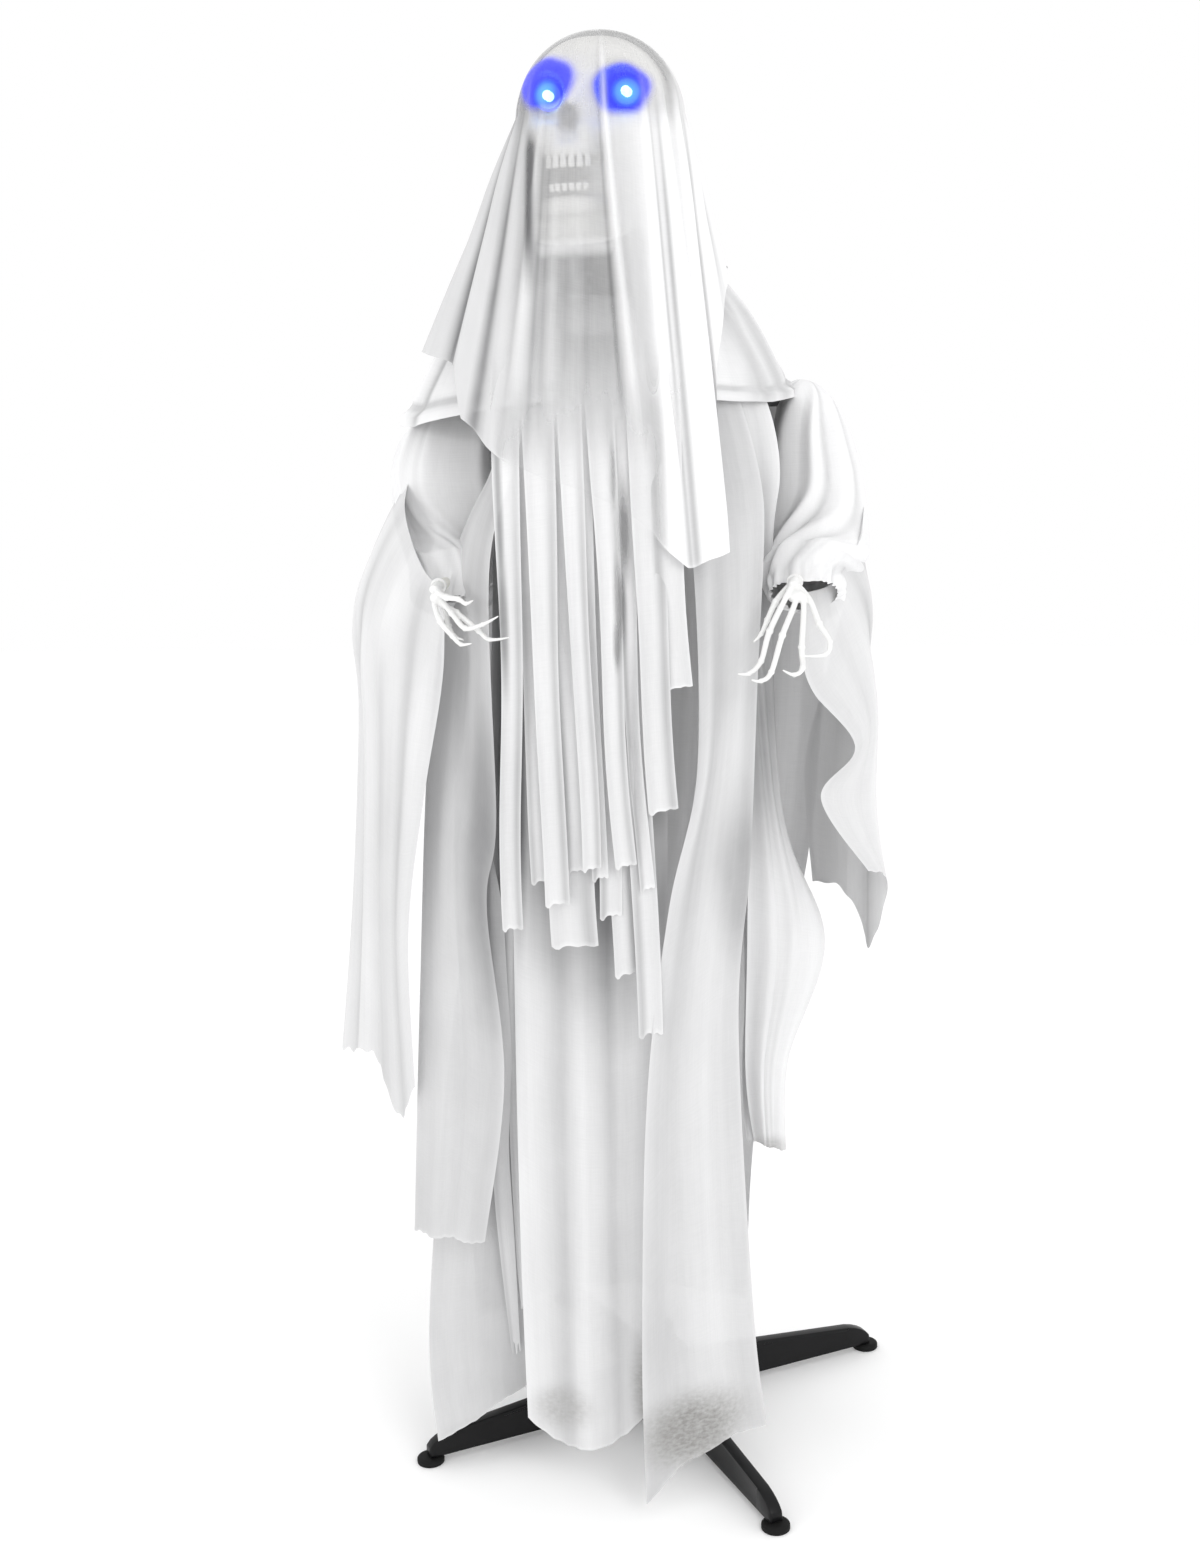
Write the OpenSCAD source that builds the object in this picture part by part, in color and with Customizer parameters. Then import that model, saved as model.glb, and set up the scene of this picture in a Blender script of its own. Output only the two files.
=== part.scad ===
// Animated ghost prop: a hooded skeleton in layered gauze on a folding stand.
// The floor is Z = 0, the pole stands on the origin and the figure faces -Y.

/* [Base] */
// Distance from the pole to the centre of each foot pad
leg_reach = 315; // [280:5:350]
// Bearing of the first leg from the figure's left side
leg_bearing = 34.5; // [25:0.5:45]
// Hub width across its flats
hub_w = 80; // [70:2:90]
// Height of the hub block
hub_h = 72; // [68:2:90]
// Height of the collar on the hub
collar_h = 38; // [30:2:60]
// Leg width
leg_w = 18; // [16:1:24]
// Leg wall
leg_wall = 2.6; // [1.8:0.2:3.4]
// Leg height at the hub
leg_root_h = 56; // [46:1:58]
// Leg height at the foot
leg_tip_h = 26; // [22:1:34]
// Foot pad diameter
foot_d = 34; // [28:1:44]
// Foot pad height
foot_h = 6; // [4:0.5:8]
// Leg hinge pin diameter
pin_d = 6; // [5:0.5:8]

/* [Pole] */
// Outer diameter of the lower pole
pole_d = 25; // [22:1:30]
// Wall of both poles
pole_wall = 1.5; // [1:0.1:2]
// Length of the lower pole
lower_pole_len = 666; // [560:2:760]
// Length of the upper pole inside the lower one
pole_lap = 70; // [50:2:110]
// Snap button diameter
button_d = 7; // [5:0.5:9]

/* [Torso] */
// Height of the torso's underside
torso_z = 1180; // [1100:5:1260]
// Torso width
torso_w = 150; // [140:2:170]
// Torso height
torso_h = 220; // [200:2:250]
// Torso reach in front of the pole
torso_front = 140; // [132:2:150]
// Torso reach behind the pole
torso_rear = 50; // [46:2:60]
// Torso corner radius
torso_round = 30; // [20:1:34]
// Torso wall
torso_wall = 3; // [2:0.2:4]
// Depth of the pole's socket in the torso
socket_depth = 56; // [40:2:70]

/* [Neck drive] */
// Distance from the pole to the neck shaft
neck_forward = 95; // [90:1:100]
// Neck shaft diameter
shaft_d = 12; // [10:0.5:14]
// Gear module
gear_module = 1.5; // [1.2:0.1:1.6]
// Teeth on the neck gear
gear_teeth = 40; // [36:2:42]
// Teeth on the motor pinion
pinion_teeth = 14; // [12:2:16]
// Gear thickness
gear_t = 8; // [6:1:12]
// Outer diameter of the neck column
column_d = 60; // [50:2:70]

/* [Head] */
// Height of the skull's middle above the torso
head_rise = 188; // [180:2:210]
// Skull width
skull_w = 160; // [150:2:170]
// Skull depth
skull_d = 188; // [180:2:200]
// Height of the brain case
skull_h = 168; // [160:2:180]
// Skull wall
skull_wall = 6; // [4:0.5:8]
// Eye socket diameter
socket_d = 42; // [38:1:46]
// Diameter of the lamp in each eye
lamp_d = 10; // [5:0.5:12]

/* [Arms] */
// Half the length of the shoulder bar
bar_half = 175; // [165:1:190]
// Shoulder bar diameter
bar_d = 16; // [12:1:18]
// Height of the shoulder bar above the torso's underside
shoulder_rise = 110; // [104:1:120]
// Distance of the shoulder bar behind the pole
bar_y = 15; // [12:1:20]
// Rise of the hoop's crown above the torso
hoop_rise = 55; // [45:1:65]
// Hoop wire diameter
hoop_d = 6; // [4:0.5:8]
// Arm tube diameter
arm_d = 14; // [12:1:16]
// Arm tube wall
arm_wall = 1.5; // [1:0.1:2]
// Straight run of the arm below its pivot
upper_drop = 90; // [84:1:100]
// Elbow bend radius
bend_r = 110; // [100:1:120]
// Straight run of the forearm
fore_len = 55; // [48:1:70]
// Shoulder pivot diameter
pivot_d = 8; // [6:0.5:10]

/* [Cloth] */
// Thickness of every cloth
cloth_t = 2.4; // [1.6:0.2:3.2]
// Depth of the folds in the robe
fold_depth = 6; // [2:0.5:8]
// Reach of the cape past the shoulder pivots
cape_over = 38; // [32:1:46]
// Reach of the cape past the torso, front and back
cape_round = 55; // [48:1:65]
// Radius of the sleeve at the elbow
sleeve_r = 54; // [46:1:58]
// Drop of the strips below the veil
strip_drop = 540; // [480:5:580]

/* [Fits] */
// Radial clearance of a turning fit
turn_gap = 0.05; // [0.02:0.01:0.1]
// Clearance of a fixed fit
fixed_gap = 0.02; // [0.01:0.01:0.05]
// Clearance between faces that slide past each other
slide_gap = 0.3; // [0.2:0.05:0.5]
// Gap between a cloth and what carries it
seat_gap = 0.3; // [0.2:0.05:0.5]

/* [Hidden] */
$fn = 48;
eps = 1;

// Base
leg_z = foot_h + 2;
root_r = hub_w / 2 + slide_gap;
root_ease = 3;
hinge_r = hub_w / 2 + 18;
hinge_z = leg_z + pin_d / 2 + 5;
lug_t = 5;
lug_out = hinge_r + pin_d / 2 + 6;
lug_top = hinge_z + pin_d / 2 + 12;
nose_r = leg_reach + 3;
nose_round = leg_tip_h / 3;
post_d = leg_w - 2 * leg_wall - 1.8;
post_r = nose_r - post_d / 2 - 4;
post_top = leg_z + leg_tip_h - leg_wall - 1;
web_r = lug_out + 6;
web_end = post_r - post_d / 2 - 4;
collar_d = pole_d + 18;
collar_top = hub_h + collar_h;
pole_z = 24;
clamp_z = hub_h + collar_h / 2;
clamp_d = 6;
knob_d = 22;
knob_t = 8;

// Poles
lower_top = pole_z + lower_pole_len;
upper_d = pole_d - 2 * pole_wall - 0.2;
upper_low = lower_top - pole_lap;
upper_top = torso_z + socket_depth;
button_z = lower_top - pole_lap / 2;
button_flange = button_d / 2 + 1.2;
bore_r = upper_d / 2 - pole_wall;
flange_y = sqrt(bore_r * bore_r - button_flange * button_flange) - 0.3;
button_show = 2;
button_out = pole_d / 2 + button_show;
button_travel = button_show + pole_wall;
spring_t = 0.6;
spring_len = 40;

// Torso
torso_top = torso_z + torso_h;
split_y = -(upper_d / 2 + 3.1);
boss_r = -split_y;
plate_t = 4;
plate_z = torso_top - 72;
neck_y = -neck_forward;
gear_r = gear_module * gear_teeth / 2;
pinion_r = gear_module * pinion_teeth / 2;
pinion_y = neck_y + gear_r + pinion_r;
gear_z = plate_z + plate_t + 8;
ledge_w = 6;
ledge_h = 8;
bearing_r = shaft_d / 2 + 6;
spindle_d = 6;
motor_w = 40;
motor_d = 30;
motor_h = 38;
can_d = 26;
can_h = 34;
speaker_d = 52;
speaker_z = torso_z + 55;
lens_d = 16;
lens_z = torso_z + 112;
board_w = 100;
board_h = 54;
board_t = 1.6;
post_len = 8;
bay_w = 62;
bay_h = 70;
bay_deep = 24;
bay_z = torso_z + 16;
cell_d = 14.2;
cell_len = 50;
door_t = 3;
door_over = 5;
rail_w = 4;
door_travel = bay_h;
control_x = 25;
control_z = bay_z + bay_h + 34;
knob_w = 6;
knob_travel = 4;
press_d = 10;
press_travel = 2.5;
screw_d = 4;
screw_x = torso_w / 2 - 6;

// Shoulders and arms
shoulder_z = torso_z + shoulder_rise;
bracket_d = bar_d + 10;
bracket_in = bar_half - 57;
bracket_out = bar_half + 20;
eye_t = 14;
eye_in = bracket_out + slide_gap;
arm_x = eye_in + eye_t / 2;
eye_d = pivot_d + 12;
pivot_head = 3;
hoop_top = torso_top + hoop_rise;
hoop_half = bar_half - 45;
hoop_low = shoulder_z + bar_d / 2 + 1;
hoop_sag = hoop_top - hoop_low;
hoop_r = (hoop_half * hoop_half + hoop_sag * hoop_sag) / (2 * hoop_sag);
hoop_turn = 4 * atan(hoop_sag / hoop_half);
bend_y = bar_y - bend_r;
bend_z = shoulder_z - upper_drop;
fore_z = bend_z - bend_r;
wrist_y = bend_y - fore_len;
plug_len = 26;
plug_flange = 4;
hand_y = wrist_y - plug_flange;

// Head
head_forward = 52;
head_y = neck_y - head_forward;
head_z = torso_top + head_rise;
skull_scale = [skull_w / 160, skull_d / 188, skull_h / 168];
socket_x = 41 * skull_scale[0];
socket_y = head_y - 86 * skull_scale[1];
socket_z = head_z + 14 * skull_scale[2];
cup_gap = 0.8;
cup_t = 1.7;
lamp_len = 14;
shaft_top = head_z - 56 * skull_scale[2];
skull_low = head_z - 98 * skull_scale[2];
column_low = torso_top;
column_top = skull_low - 4;
shaft_low = plate_z - 10;
clip_t = 3.6;

// Cloth
cape_cols = 60;
cape_rows = 6;
cape_seat = 5 / 6;
cape_hem_z = shoulder_z;
cape_hem_x = arm_x + cape_over;
cape_hem_y = (torso_rear - torso_front) / 2 + 25;
cape_hem_d = (torso_rear + torso_front) / 2 + cape_round;
cape_neck_r = 85;
cape_neck_y = bar_y - cape_neck_r;
cape_swell = 31;
cape_run = cape_hem_y + cape_hem_d - bar_y;
cape_fall = cape_hem_z - hoop_top + 180 * cape_swell / 57.3;
cape_sag = 0.3;
cape_rest = (hoop_d / 2 + cloth_t + seat_gap + cape_sag) / (cape_run / norm([cape_run, cape_fall]));
cape_back_z = hoop_top + cape_rest;
cape_front_z = torso_top + 15;
veil_cols = 40;
veil_rows = 13;
veil_dome = 6 / 13;
veil_x = skull_w / 2 + 10;
veil_y = skull_d / 2 + 14;
veil_h = skull_h / 2 + cloth_t + seat_gap;
veil_z = head_z;
cuff_r = arm_d / 2 + seat_gap + cloth_t;

// The cloths' edge points suit a shoulder bar of 175 mm, a head 147 mm forward and a veil 90 mm to each side
spread = bar_half / 175;
reach = -head_y / 147;
veil_spread = veil_x / 90;

// Small helpers
function mix(a, b, t) = a + (b - a) * t;
function ease(t) = let (c = min(max(t, 0), 1)) c * c * (3 - 2 * c);
function unit(v) = v / norm(v);
function curve(a, b, c, d, t) =
  0.5 * (2 * b + (c - a) * t + (2 * a - 5 * b + 4 * c - d) * t * t + (3 * b - a - 3 * c + d) * t * t * t);
function along(list, s) =
  let (n = len(list) - 1, x = min(max(s, 0), 1) * n, i = min(floor(x), n - 1))
  curve(list[max(i - 1, 0)], list[i], list[i + 1], list[min(i + 2, n)], x - i);
function around(list, s) =
  let (n = len(list), x = (s - floor(s)) * n, i = floor(x))
  curve(list[(i + n - 1) % n], list[i % n], list[(i + 1) % n], list[(i + 2) % n], x - i);

// Outward normal of a surface f(u, v), with u to the right and v downward
function facing(f, u, v) =
  let (d = 0.004)
  unit(cross(f(u, min(v + d, 1)) - f(u, max(v - d, 0)), f(u + d, v) - f(u - d, v)));

// Closed solid between two grids of points, open at its edges or closed round
module skin(outer, inner, round = false, capped = false) {
  rows = len(outer) - 1;
  cols = len(outer[0]);
  last = round ? cols : cols - 1;
  count = (rows + 1) * cols;
  points = concat(
    [for (r = outer) each r], [for (r = inner) each r],
    capped ? [mean(outer[0]), mean(inner[0])] : []
  );
  function at(i, j) = i * cols + j % cols;
  faces = concat(
    [for (i = [0:rows - 1], j = [0:last - 1]) [at(i, j), at(i, j + 1), at(i + 1, j + 1)]],
    [for (i = [0:rows - 1], j = [0:last - 1]) [at(i, j), at(i + 1, j + 1), at(i + 1, j)]],
    [for (i = [0:rows - 1], j = [0:last - 1]) [at(i, j), at(i + 1, j + 1), at(i, j + 1)] + [1, 1, 1] * count],
    [for (i = [0:rows - 1], j = [0:last - 1]) [at(i, j), at(i + 1, j), at(i + 1, j + 1)] + [1, 1, 1] * count],
    [for (j = [0:last - 1]) each edge(at(rows, j), at(rows, j + 1), count)],
    capped
      ? [for (j = [0:last - 1]) each [[at(0, j + 1), at(0, j), 2 * count],
          [at(0, j) + count, at(0, j + 1) + count, 2 * count + 1]]]
      : [for (j = [0:last - 1]) each edge(at(0, j + 1), at(0, j), count)],
    round ? [] : [for (i = [0:rows - 1]) each edge(at(i, 0), at(i + 1, 0), count)],
    round ? [] : [for (i = [0:rows - 1]) each edge(at(i + 1, cols - 1), at(i, cols - 1), count)]
  );
  polyhedron(points, faces);
}
function mean(list) = let (n = len(list)) [for (k = [0:2]) let (s = [for (p = list) p[k]]) sum(s) / n];
function sum(list, i = 0) = i == len(list) ? 0 : list[i] + sum(list, i + 1);
function edge(a, b, n) = [[a, b, b + n], [a, b + n, a + n]];

// Cloth on a surface f(u, v): the thickness lies on its inner side
module cloth(f, rows, cols, round = false, capped = false) {
  span = round ? cols - 1 : cols;
  skin(
    [for (i = [0:rows]) [for (j = [0:span]) f(j / cols, i / rows)]],
    [for (i = [0:rows]) [for (j = [0:span]) f(j / cols, i / rows) - cloth_t * facing(f, j / cols, i / rows)]],
    round, capped
  );
}

// Solid with round corners, standing on a height
module block(low, high, z, h, r) {
  translate([0, 0, z])
    linear_extrude(h) {
      translate([low[0] + r, low[1]])
        square([high[0] - low[0] - 2 * r, high[1] - low[1]]);
      translate([low[0], low[1] + r])
        square([high[0] - low[0], high[1] - low[1] - 2 * r]);
      for (x = [low[0] + r, high[0] - r], y = [low[1] + r, high[1] - r])
        translate([x, y])
          circle(r);
    }
}
module box(low, high) {
  translate(low)
    cube(high - low);
}
module rod_x(d, x0, x1) {
  translate([x0, 0, 0])
    rotate([0, 90, 0])
      cylinder(d = d, h = x1 - x0);
}
module rod_y(d, y0, y1) {
  translate([0, y0, 0])
    rotate([-90, 0, 0])
      cylinder(d = d, h = y1 - y0);
}
module at_leg(k) {
  rotate(leg_bearing + 90 * k)
    children();
}
module mirrored(side) {
  if (side > 0)
    children();
  else
    mirror([1, 0, 0])
      children();
}

// Base: hub, folding legs and foot pads
module base_hub() {
  lug_in = hub_w / 2 - 6;
  color("#151517")
    difference() {
      union() {
        rotate(leg_bearing)
          linear_extrude(hub_h)
            intersection() {
              square(hub_w, center = true);
              circle(d = hub_w * 1.25);
            }
        cylinder(d = collar_d, h = collar_top);
        for (k = [0:3], s = [-1, 1])
          at_leg(k)
            translate([0, s * (leg_w / 2 + slide_gap + lug_t / 2), 0])
              box([lug_in, -lug_t / 2, 2], [lug_out, lug_t / 2, lug_top]);
      }
      translate([0, 0, pole_z])
        cylinder(d = pole_d + 2 * fixed_gap, h = collar_top);
      for (k = [0:3])
        at_leg(k)
          translate([hinge_r, 0, hinge_z])
            rod_y(pin_d + 2 * fixed_gap, -leg_w, leg_w);
      translate([0, 0, clamp_z])
        rod_y(clamp_d + 2 * fixed_gap, pole_d / 4, collar_d);
    }
}
module leg_side(shrink, low) {
  polygon([
    [root_r, hinge_z], [root_r + root_ease, low], [nose_r, low], [nose_r, leg_z + leg_tip_h - nose_round],
    [nose_r - nose_round, leg_z + leg_tip_h - shrink], [root_r, leg_z + leg_root_h - shrink]
  ]);
}
module leg(k) {
  color("#19191b")
    at_leg(k)
      difference() {
        rotate([90, 0, 0])
          linear_extrude(leg_w, center = true)
            leg_side(0, leg_z);
        intersection() {
          rotate([90, 0, 0])
            linear_extrude(leg_w - 2 * leg_wall, center = true)
              leg_side(leg_wall, leg_z - eps);
          box([web_r, -leg_w, 0], [web_end, leg_w, hub_h + leg_root_h]);
        }
        translate([hinge_r, 0, hinge_z])
          rod_y(pin_d + 2 * turn_gap, -leg_w, leg_w);
        translate([post_r, 0, 0])
          cylinder(d = post_d + 2 * fixed_gap, h = post_top);
      }
}
module foot(k) {
  color("#101011")
    at_leg(k) {
      translate([leg_reach, 0, 0]) {
        cylinder(d = foot_d, h = foot_h * 0.6);
        translate([0, 0, foot_h * 0.6])
          cylinder(d1 = foot_d, d2 = foot_d - foot_h, h = foot_h * 0.4);
      }
      translate([post_r, 0, 0])
        cylinder(d = post_d, h = post_top);
    }
}
module leg_pins() {
  half = leg_w / 2 + slide_gap + lug_t;
  color("#8a8c90")
    for (k = [0:3])
      at_leg(k)
        translate([hinge_r, 0, hinge_z])
          rod_y(pin_d, -half, half);
}
module clamp_screw() {
  color("#1c1c1f")
    translate([0, 0, clamp_z]) {
      rod_y(clamp_d, pole_d / 2 + slide_gap, collar_d / 2 + 4 + eps);
      rod_y(knob_d, collar_d / 2 + 4, collar_d / 2 + 4 + knob_t);
    }
}

// Poles and their snap button
module tube(d, wall, low, high) {
  difference() {
    translate([0, 0, low])
      cylinder(d = d, h = high - low);
    translate([0, 0, low - eps])
      cylinder(d = d - 2 * wall, h = high - low + 2 * eps);
    translate([0, 0, button_z])
      rod_y(button_d + 2 * turn_gap, 0, pole_d);
  }
}
module lower_pole() {
  color("#2a2b2e")
    tube(pole_d, pole_wall, pole_z, lower_top);
}
module upper_pole() {
  color("#34363a")
    tube(upper_d, pole_wall, upper_low, upper_top);
}
module snap_button() {
  color("#b9bcc2")
    translate([0, 0, button_z]) {
      rod_y(button_d, flange_y - eps, button_out);
      rod_y(2 * button_flange, flange_y - 2, flange_y);
    }
}
module button_spring() {
  front = flange_y - 2 - slide_gap;
  back = -bore_r + 1;
  color("#a9acb2")
    translate([0, 0, button_z])
      rotate([90, 0, 90])
        linear_extrude(button_d, center = true)
          polygon([
            [front, button_flange], [front, -button_flange], [front - 3, -spring_len], [back + 3, -spring_len],
            [back, 0], [back + spring_t, 0], [back + 3 + spring_t, spring_t - spring_len],
            [front - 3 - spring_t, spring_t - spring_len], [front - spring_t, -button_flange],
            [front - spring_t, button_flange]
          ]);
}

// Torso shells
module torso_plan(inset, z, h) {
  block(
    [-torso_w / 2 + inset, -torso_front + inset], [torso_w / 2 - inset, torso_rear - inset],
    z, h, torso_round - inset
  );
}
module torso_hollow() {
  difference() {
    torso_plan(0, torso_z, torso_h);
    torso_plan(torso_wall, torso_z + torso_wall, torso_h - 2 * torso_wall);
  }
}
module screw_spots() {
  for (s = [-1, 1], z = [torso_z + 24, torso_top - 24])
    translate([s * screw_x, 0, z])
      children();
}
module torso_front_shell() {
  inner_x = torso_w / 2 - torso_wall;
  color("#3b3d41")
    difference() {
      union() {
        intersection() {
          torso_hollow();
          box([-torso_w, -2 * torso_front, 0], [torso_w, split_y, 2 * torso_top]);
        }
        for (s = [-1, 1])
          mirrored(s)
            box([inner_x - ledge_w, -torso_front + torso_round, plate_z - ledge_h],
              [inner_x + eps, split_y - 6, plate_z]);
        screw_spots()
          rod_y(2 * screw_d, split_y - 14, split_y);
      }
      translate([0, neck_y, 0])
        cylinder(d = 2 * bearing_r - 6 + 2 * fixed_gap, h = 2 * torso_top);
      translate([0, 0, lens_z])
        rod_y(lens_d + 2 * fixed_gap, -2 * torso_front, -torso_front + torso_wall + eps);
      for (a = [0:45:315])
        translate([speaker_d * 0.3 * cos(a), 0, speaker_z + speaker_d * 0.3 * sin(a)])
          rod_y(speaker_d * 0.12, -2 * torso_front, -torso_front + torso_wall + eps);
      screw_spots()
        rod_y(screw_d + 2 * fixed_gap, split_y - 12, split_y + eps);
    }
}
module torso_rear_shell() {
  back = torso_rear - torso_wall;
  color("#36383c")
    difference() {
      union() {
        intersection() {
          torso_hollow();
          box([-torso_w, split_y, 0], [torso_w, 2 * torso_rear, 2 * torso_top]);
        }
        translate([0, 0, torso_z])
          cylinder(r = boss_r, h = socket_depth + 4);
        for (s = [-1, 1], z = [-1, 1])
          translate([s * (board_w / 2 - 5), 0, torso_top - 36 + z * (board_h / 2 - 5)])
            rod_y(6, back - post_len, back + eps);
        for (s = [-1, 1])
          mirrored(s) {
            box([bay_w / 2 + door_over + slide_gap, back, bay_z - door_over],
              [bay_w / 2 + door_over + slide_gap + rail_w, torso_rear + door_t + 3, bay_z + bay_h + door_over]);
            box([bay_w / 2 + door_over - 2, torso_rear + door_t + 2 * slide_gap, bay_z - door_over],
              [bay_w / 2 + door_over + slide_gap + rail_w, torso_rear + door_t + 3, bay_z + bay_h + door_over]);
          }
        screw_spots()
          rod_y(2 * screw_d, split_y, split_y + 10);
      }
      translate([0, 0, torso_z - eps])
        cylinder(d = upper_d + 2 * fixed_gap, h = socket_depth + eps);
      translate([0, bar_y, shoulder_z])
        rod_x(bar_d + 2 * fixed_gap, -torso_w, torso_w);
      box([-bay_w / 2, back - eps, bay_z], [bay_w / 2, torso_rear + eps, bay_z + bay_h]);
      box([control_x - knob_w / 2 - slide_gap, back - eps, control_z - knob_w / 2 - knob_travel - slide_gap],
        [control_x + knob_w / 2 + slide_gap, torso_rear + eps, control_z + knob_w / 2 + knob_travel + slide_gap]);
      translate([-control_x, 0, control_z])
        rod_y(press_d + 2 * turn_gap, back - eps, torso_rear + eps);
      screw_spots()
        rod_y(screw_d + 2 * fixed_gap, split_y - eps, split_y + 10 + eps);
    }
}
module torso_screws() {
  color("#9a9ca0")
    screw_spots() {
      rod_y(screw_d, split_y - 11, split_y + 10);
      rod_y(1.4 * screw_d, split_y + 10, split_y + 13);
    }
}

// Neck drive
function tooth(n, r, at, k) =
  let (p = 360 / n, a = at + k * p, low = r - 1.25 * gear_module, high = r + 0.9 * gear_module)
  [[low, a - 0.30 * p], [high, a - 0.10 * p], [high, a + 0.10 * p], [low, a + 0.30 * p]];
function gear_outline(n, r, at) =
  [for (k = [0:n - 1]) each [for (q = tooth(n, r, at, k)) q[0] * [cos(q[1]), sin(q[1])]]];
module gear(n, r, at, hole) {
  translate([0, 0, gear_z])
    linear_extrude(gear_t)
      difference() {
        polygon(gear_outline(n, r, at));
        circle(d = hole);
      }
}
module drive_plate() {
  half = torso_w / 2 - torso_wall - slide_gap;
  front = -torso_front + torso_round;
  color("#6b6e73")
    difference() {
      union() {
        box([-half, front, plate_z], [half, split_y - 8, plate_z + plate_t]);
        translate([0, neck_y, plate_z - 6])
          cylinder(r = bearing_r, h = plate_t + 12);
      }
      translate([0, neck_y, 0])
        cylinder(d = shaft_d + 2 * turn_gap, h = 2 * torso_top);
      translate([0, pinion_y, 0])
        cylinder(d = spindle_d + 4, h = 2 * torso_top);
    }
}
module drive_motor() {
  color("#8d9095")
    difference() {
      translate([0, pinion_y, plate_z]) {
        box([-motor_w / 2, 8 - motor_d, -motor_h], [motor_w / 2, 8, 0]);
        translate([0, 0, -motor_h - can_h])
          cylinder(d = can_d - 10, h = can_h + eps);
        translate([0, 0, -motor_h - can_h])
          cylinder(d = can_d - 10, h = 4);
      }
      translate([0, pinion_y, plate_z - 12])
        cylinder(d = spindle_d + 2 * turn_gap, h = 12 + eps);
    }
}
module motor_pinion() {
  color("#d8d2bf")
    translate([0, pinion_y, 0]) {
      gear(pinion_teeth, pinion_r, 270 + 180 / pinion_teeth, 0.5 * spindle_d);
      translate([0, 0, plate_z - 11.5])
        cylinder(d = spindle_d, h = gear_z + gear_t + 3 - plate_z + 11.5);
    }
}
module neck_gear() {
  color("#e3dcc8")
    translate([0, neck_y, 0])
      gear(gear_teeth, gear_r, 90, shaft_d + 2 * fixed_gap);
}
module neck_shaft() {
  color("#b4b7bd")
    translate([0, neck_y, 0]) {
      translate([0, 0, shaft_low])
        cylinder(d = shaft_d, h = shaft_top - shaft_low);
      translate([0, 0, shaft_low])
        cylinder(r = bearing_r - 2, h = clip_t);
      translate([0, 0, plate_z + plate_t + 6 + slide_gap])
        cylinder(r = bearing_r - 2, h = gear_z - plate_z - plate_t - 6 - slide_gap);
    }
}
module neck_bush() {
  color("#c9a65a")
    translate([0, neck_y, 0])
      difference() {
        union() {
          translate([0, 0, torso_top - torso_wall - 3])
            cylinder(d = 2 * bearing_r - 6, h = torso_wall + 3);
          translate([0, 0, torso_top])
            cylinder(r = bearing_r + 2, h = 5);
        }
        translate([0, 0, torso_top - 20])
          cylinder(d = shaft_d + 2 * turn_gap, h = 40);
      }
}
module neck_column() {
  rib = (column_top - column_low) / 6;
  color("#b9bab8")
    translate([0, neck_y, 0])
      difference() {
        union() {
          translate([0, 0, column_low])
            cylinder(d = column_d - 10, h = column_top - column_low);
          for (k = [0:4])
            translate([0, 0, column_low + k * 1.2 * rib])
              cylinder(d = column_d, h = 0.6 * rib);
        }
        translate([0, 0, column_low - eps])
          cylinder(r = bearing_r + 4, h = column_top - column_low + 2 * eps);
      }
}

// What the torso holds
module speaker() {
  face = -torso_front + torso_wall;
  color("#26262a")
    translate([0, 0, speaker_z]) {
      rod_y(speaker_d, face, face + 5);
      rod_y(speaker_d * 0.8, face + 4, face + 14);
      rod_y(speaker_d * 0.5, face + 13, face + 22);
    }
}
module sensor_lens() {
  color("#e9ebee")
    translate([0, 0, lens_z]) {
      rod_y(lens_d, -torso_front - 2, -torso_front + torso_wall);
      rod_y(lens_d + 6, -torso_front + torso_wall, -torso_front + torso_wall + 3);
      intersection() {
        translate([0, -torso_front - 2, 0])
          sphere(d = lens_d - 2);
        rod_y(2 * lens_d, -torso_front - 2 * lens_d, -torso_front - 2 + eps);
      }
    }
}
module control_board() {
  face = torso_rear - torso_wall - post_len;
  color("#1f5a3a")
    translate([0, 0, torso_top - 36]) {
      box([-board_w / 2, face - board_t, -board_h / 2], [board_w / 2, face, board_h / 2]);
      box([-14, face - board_t - 3, -8], [14, face - board_t + eps / 2, 8]);
      box([26, face - board_t - 6, -12], [40, face - board_t + eps / 2, 4]);
    }
}
module battery_bay() {
  wall = 2;
  low = torso_rear - bay_deep;
  half = bay_w / 2 - fixed_gap;
  color("#2b2c2f")
    difference() {
      box([-half, low, bay_z + fixed_gap], [half, torso_rear, bay_z + bay_h - fixed_gap]);
      box([-half + wall, low + wall, bay_z + wall], [half - wall, torso_rear + eps, bay_z + bay_h - wall]);
    }
}
module batteries() {
  pitch = (bay_w - 4) / 3;
  color("#5d6a77")
    for (k = [-1, 0, 1])
      translate([k * pitch, torso_rear - bay_deep + 2 + slide_gap + cell_d / 2, bay_z + 2]) {
        cylinder(d = cell_d, h = cell_len);
        cylinder(d = cell_d * 0.4, h = cell_len + 1.5);
        translate([0, 0, cell_len + 1.5])
          cylinder(d = cell_d * 0.6, h = bay_h - 4 - cell_len - 1.5 - fixed_gap);
      }
}
module battery_door() {
  half = bay_w / 2 + door_over;
  color("#2f3034") {
    box([-half, torso_rear + slide_gap, bay_z - door_over],
      [half, torso_rear + slide_gap + door_t, bay_z + bay_h + door_over]);
    for (k = [0:3])
      box([-10, torso_rear + slide_gap + door_t - eps, bay_z + bay_h - 4 * k - 2],
        [10, torso_rear + slide_gap + door_t + 1.2, bay_z + bay_h - 4 * k]);
  }
}
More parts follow.
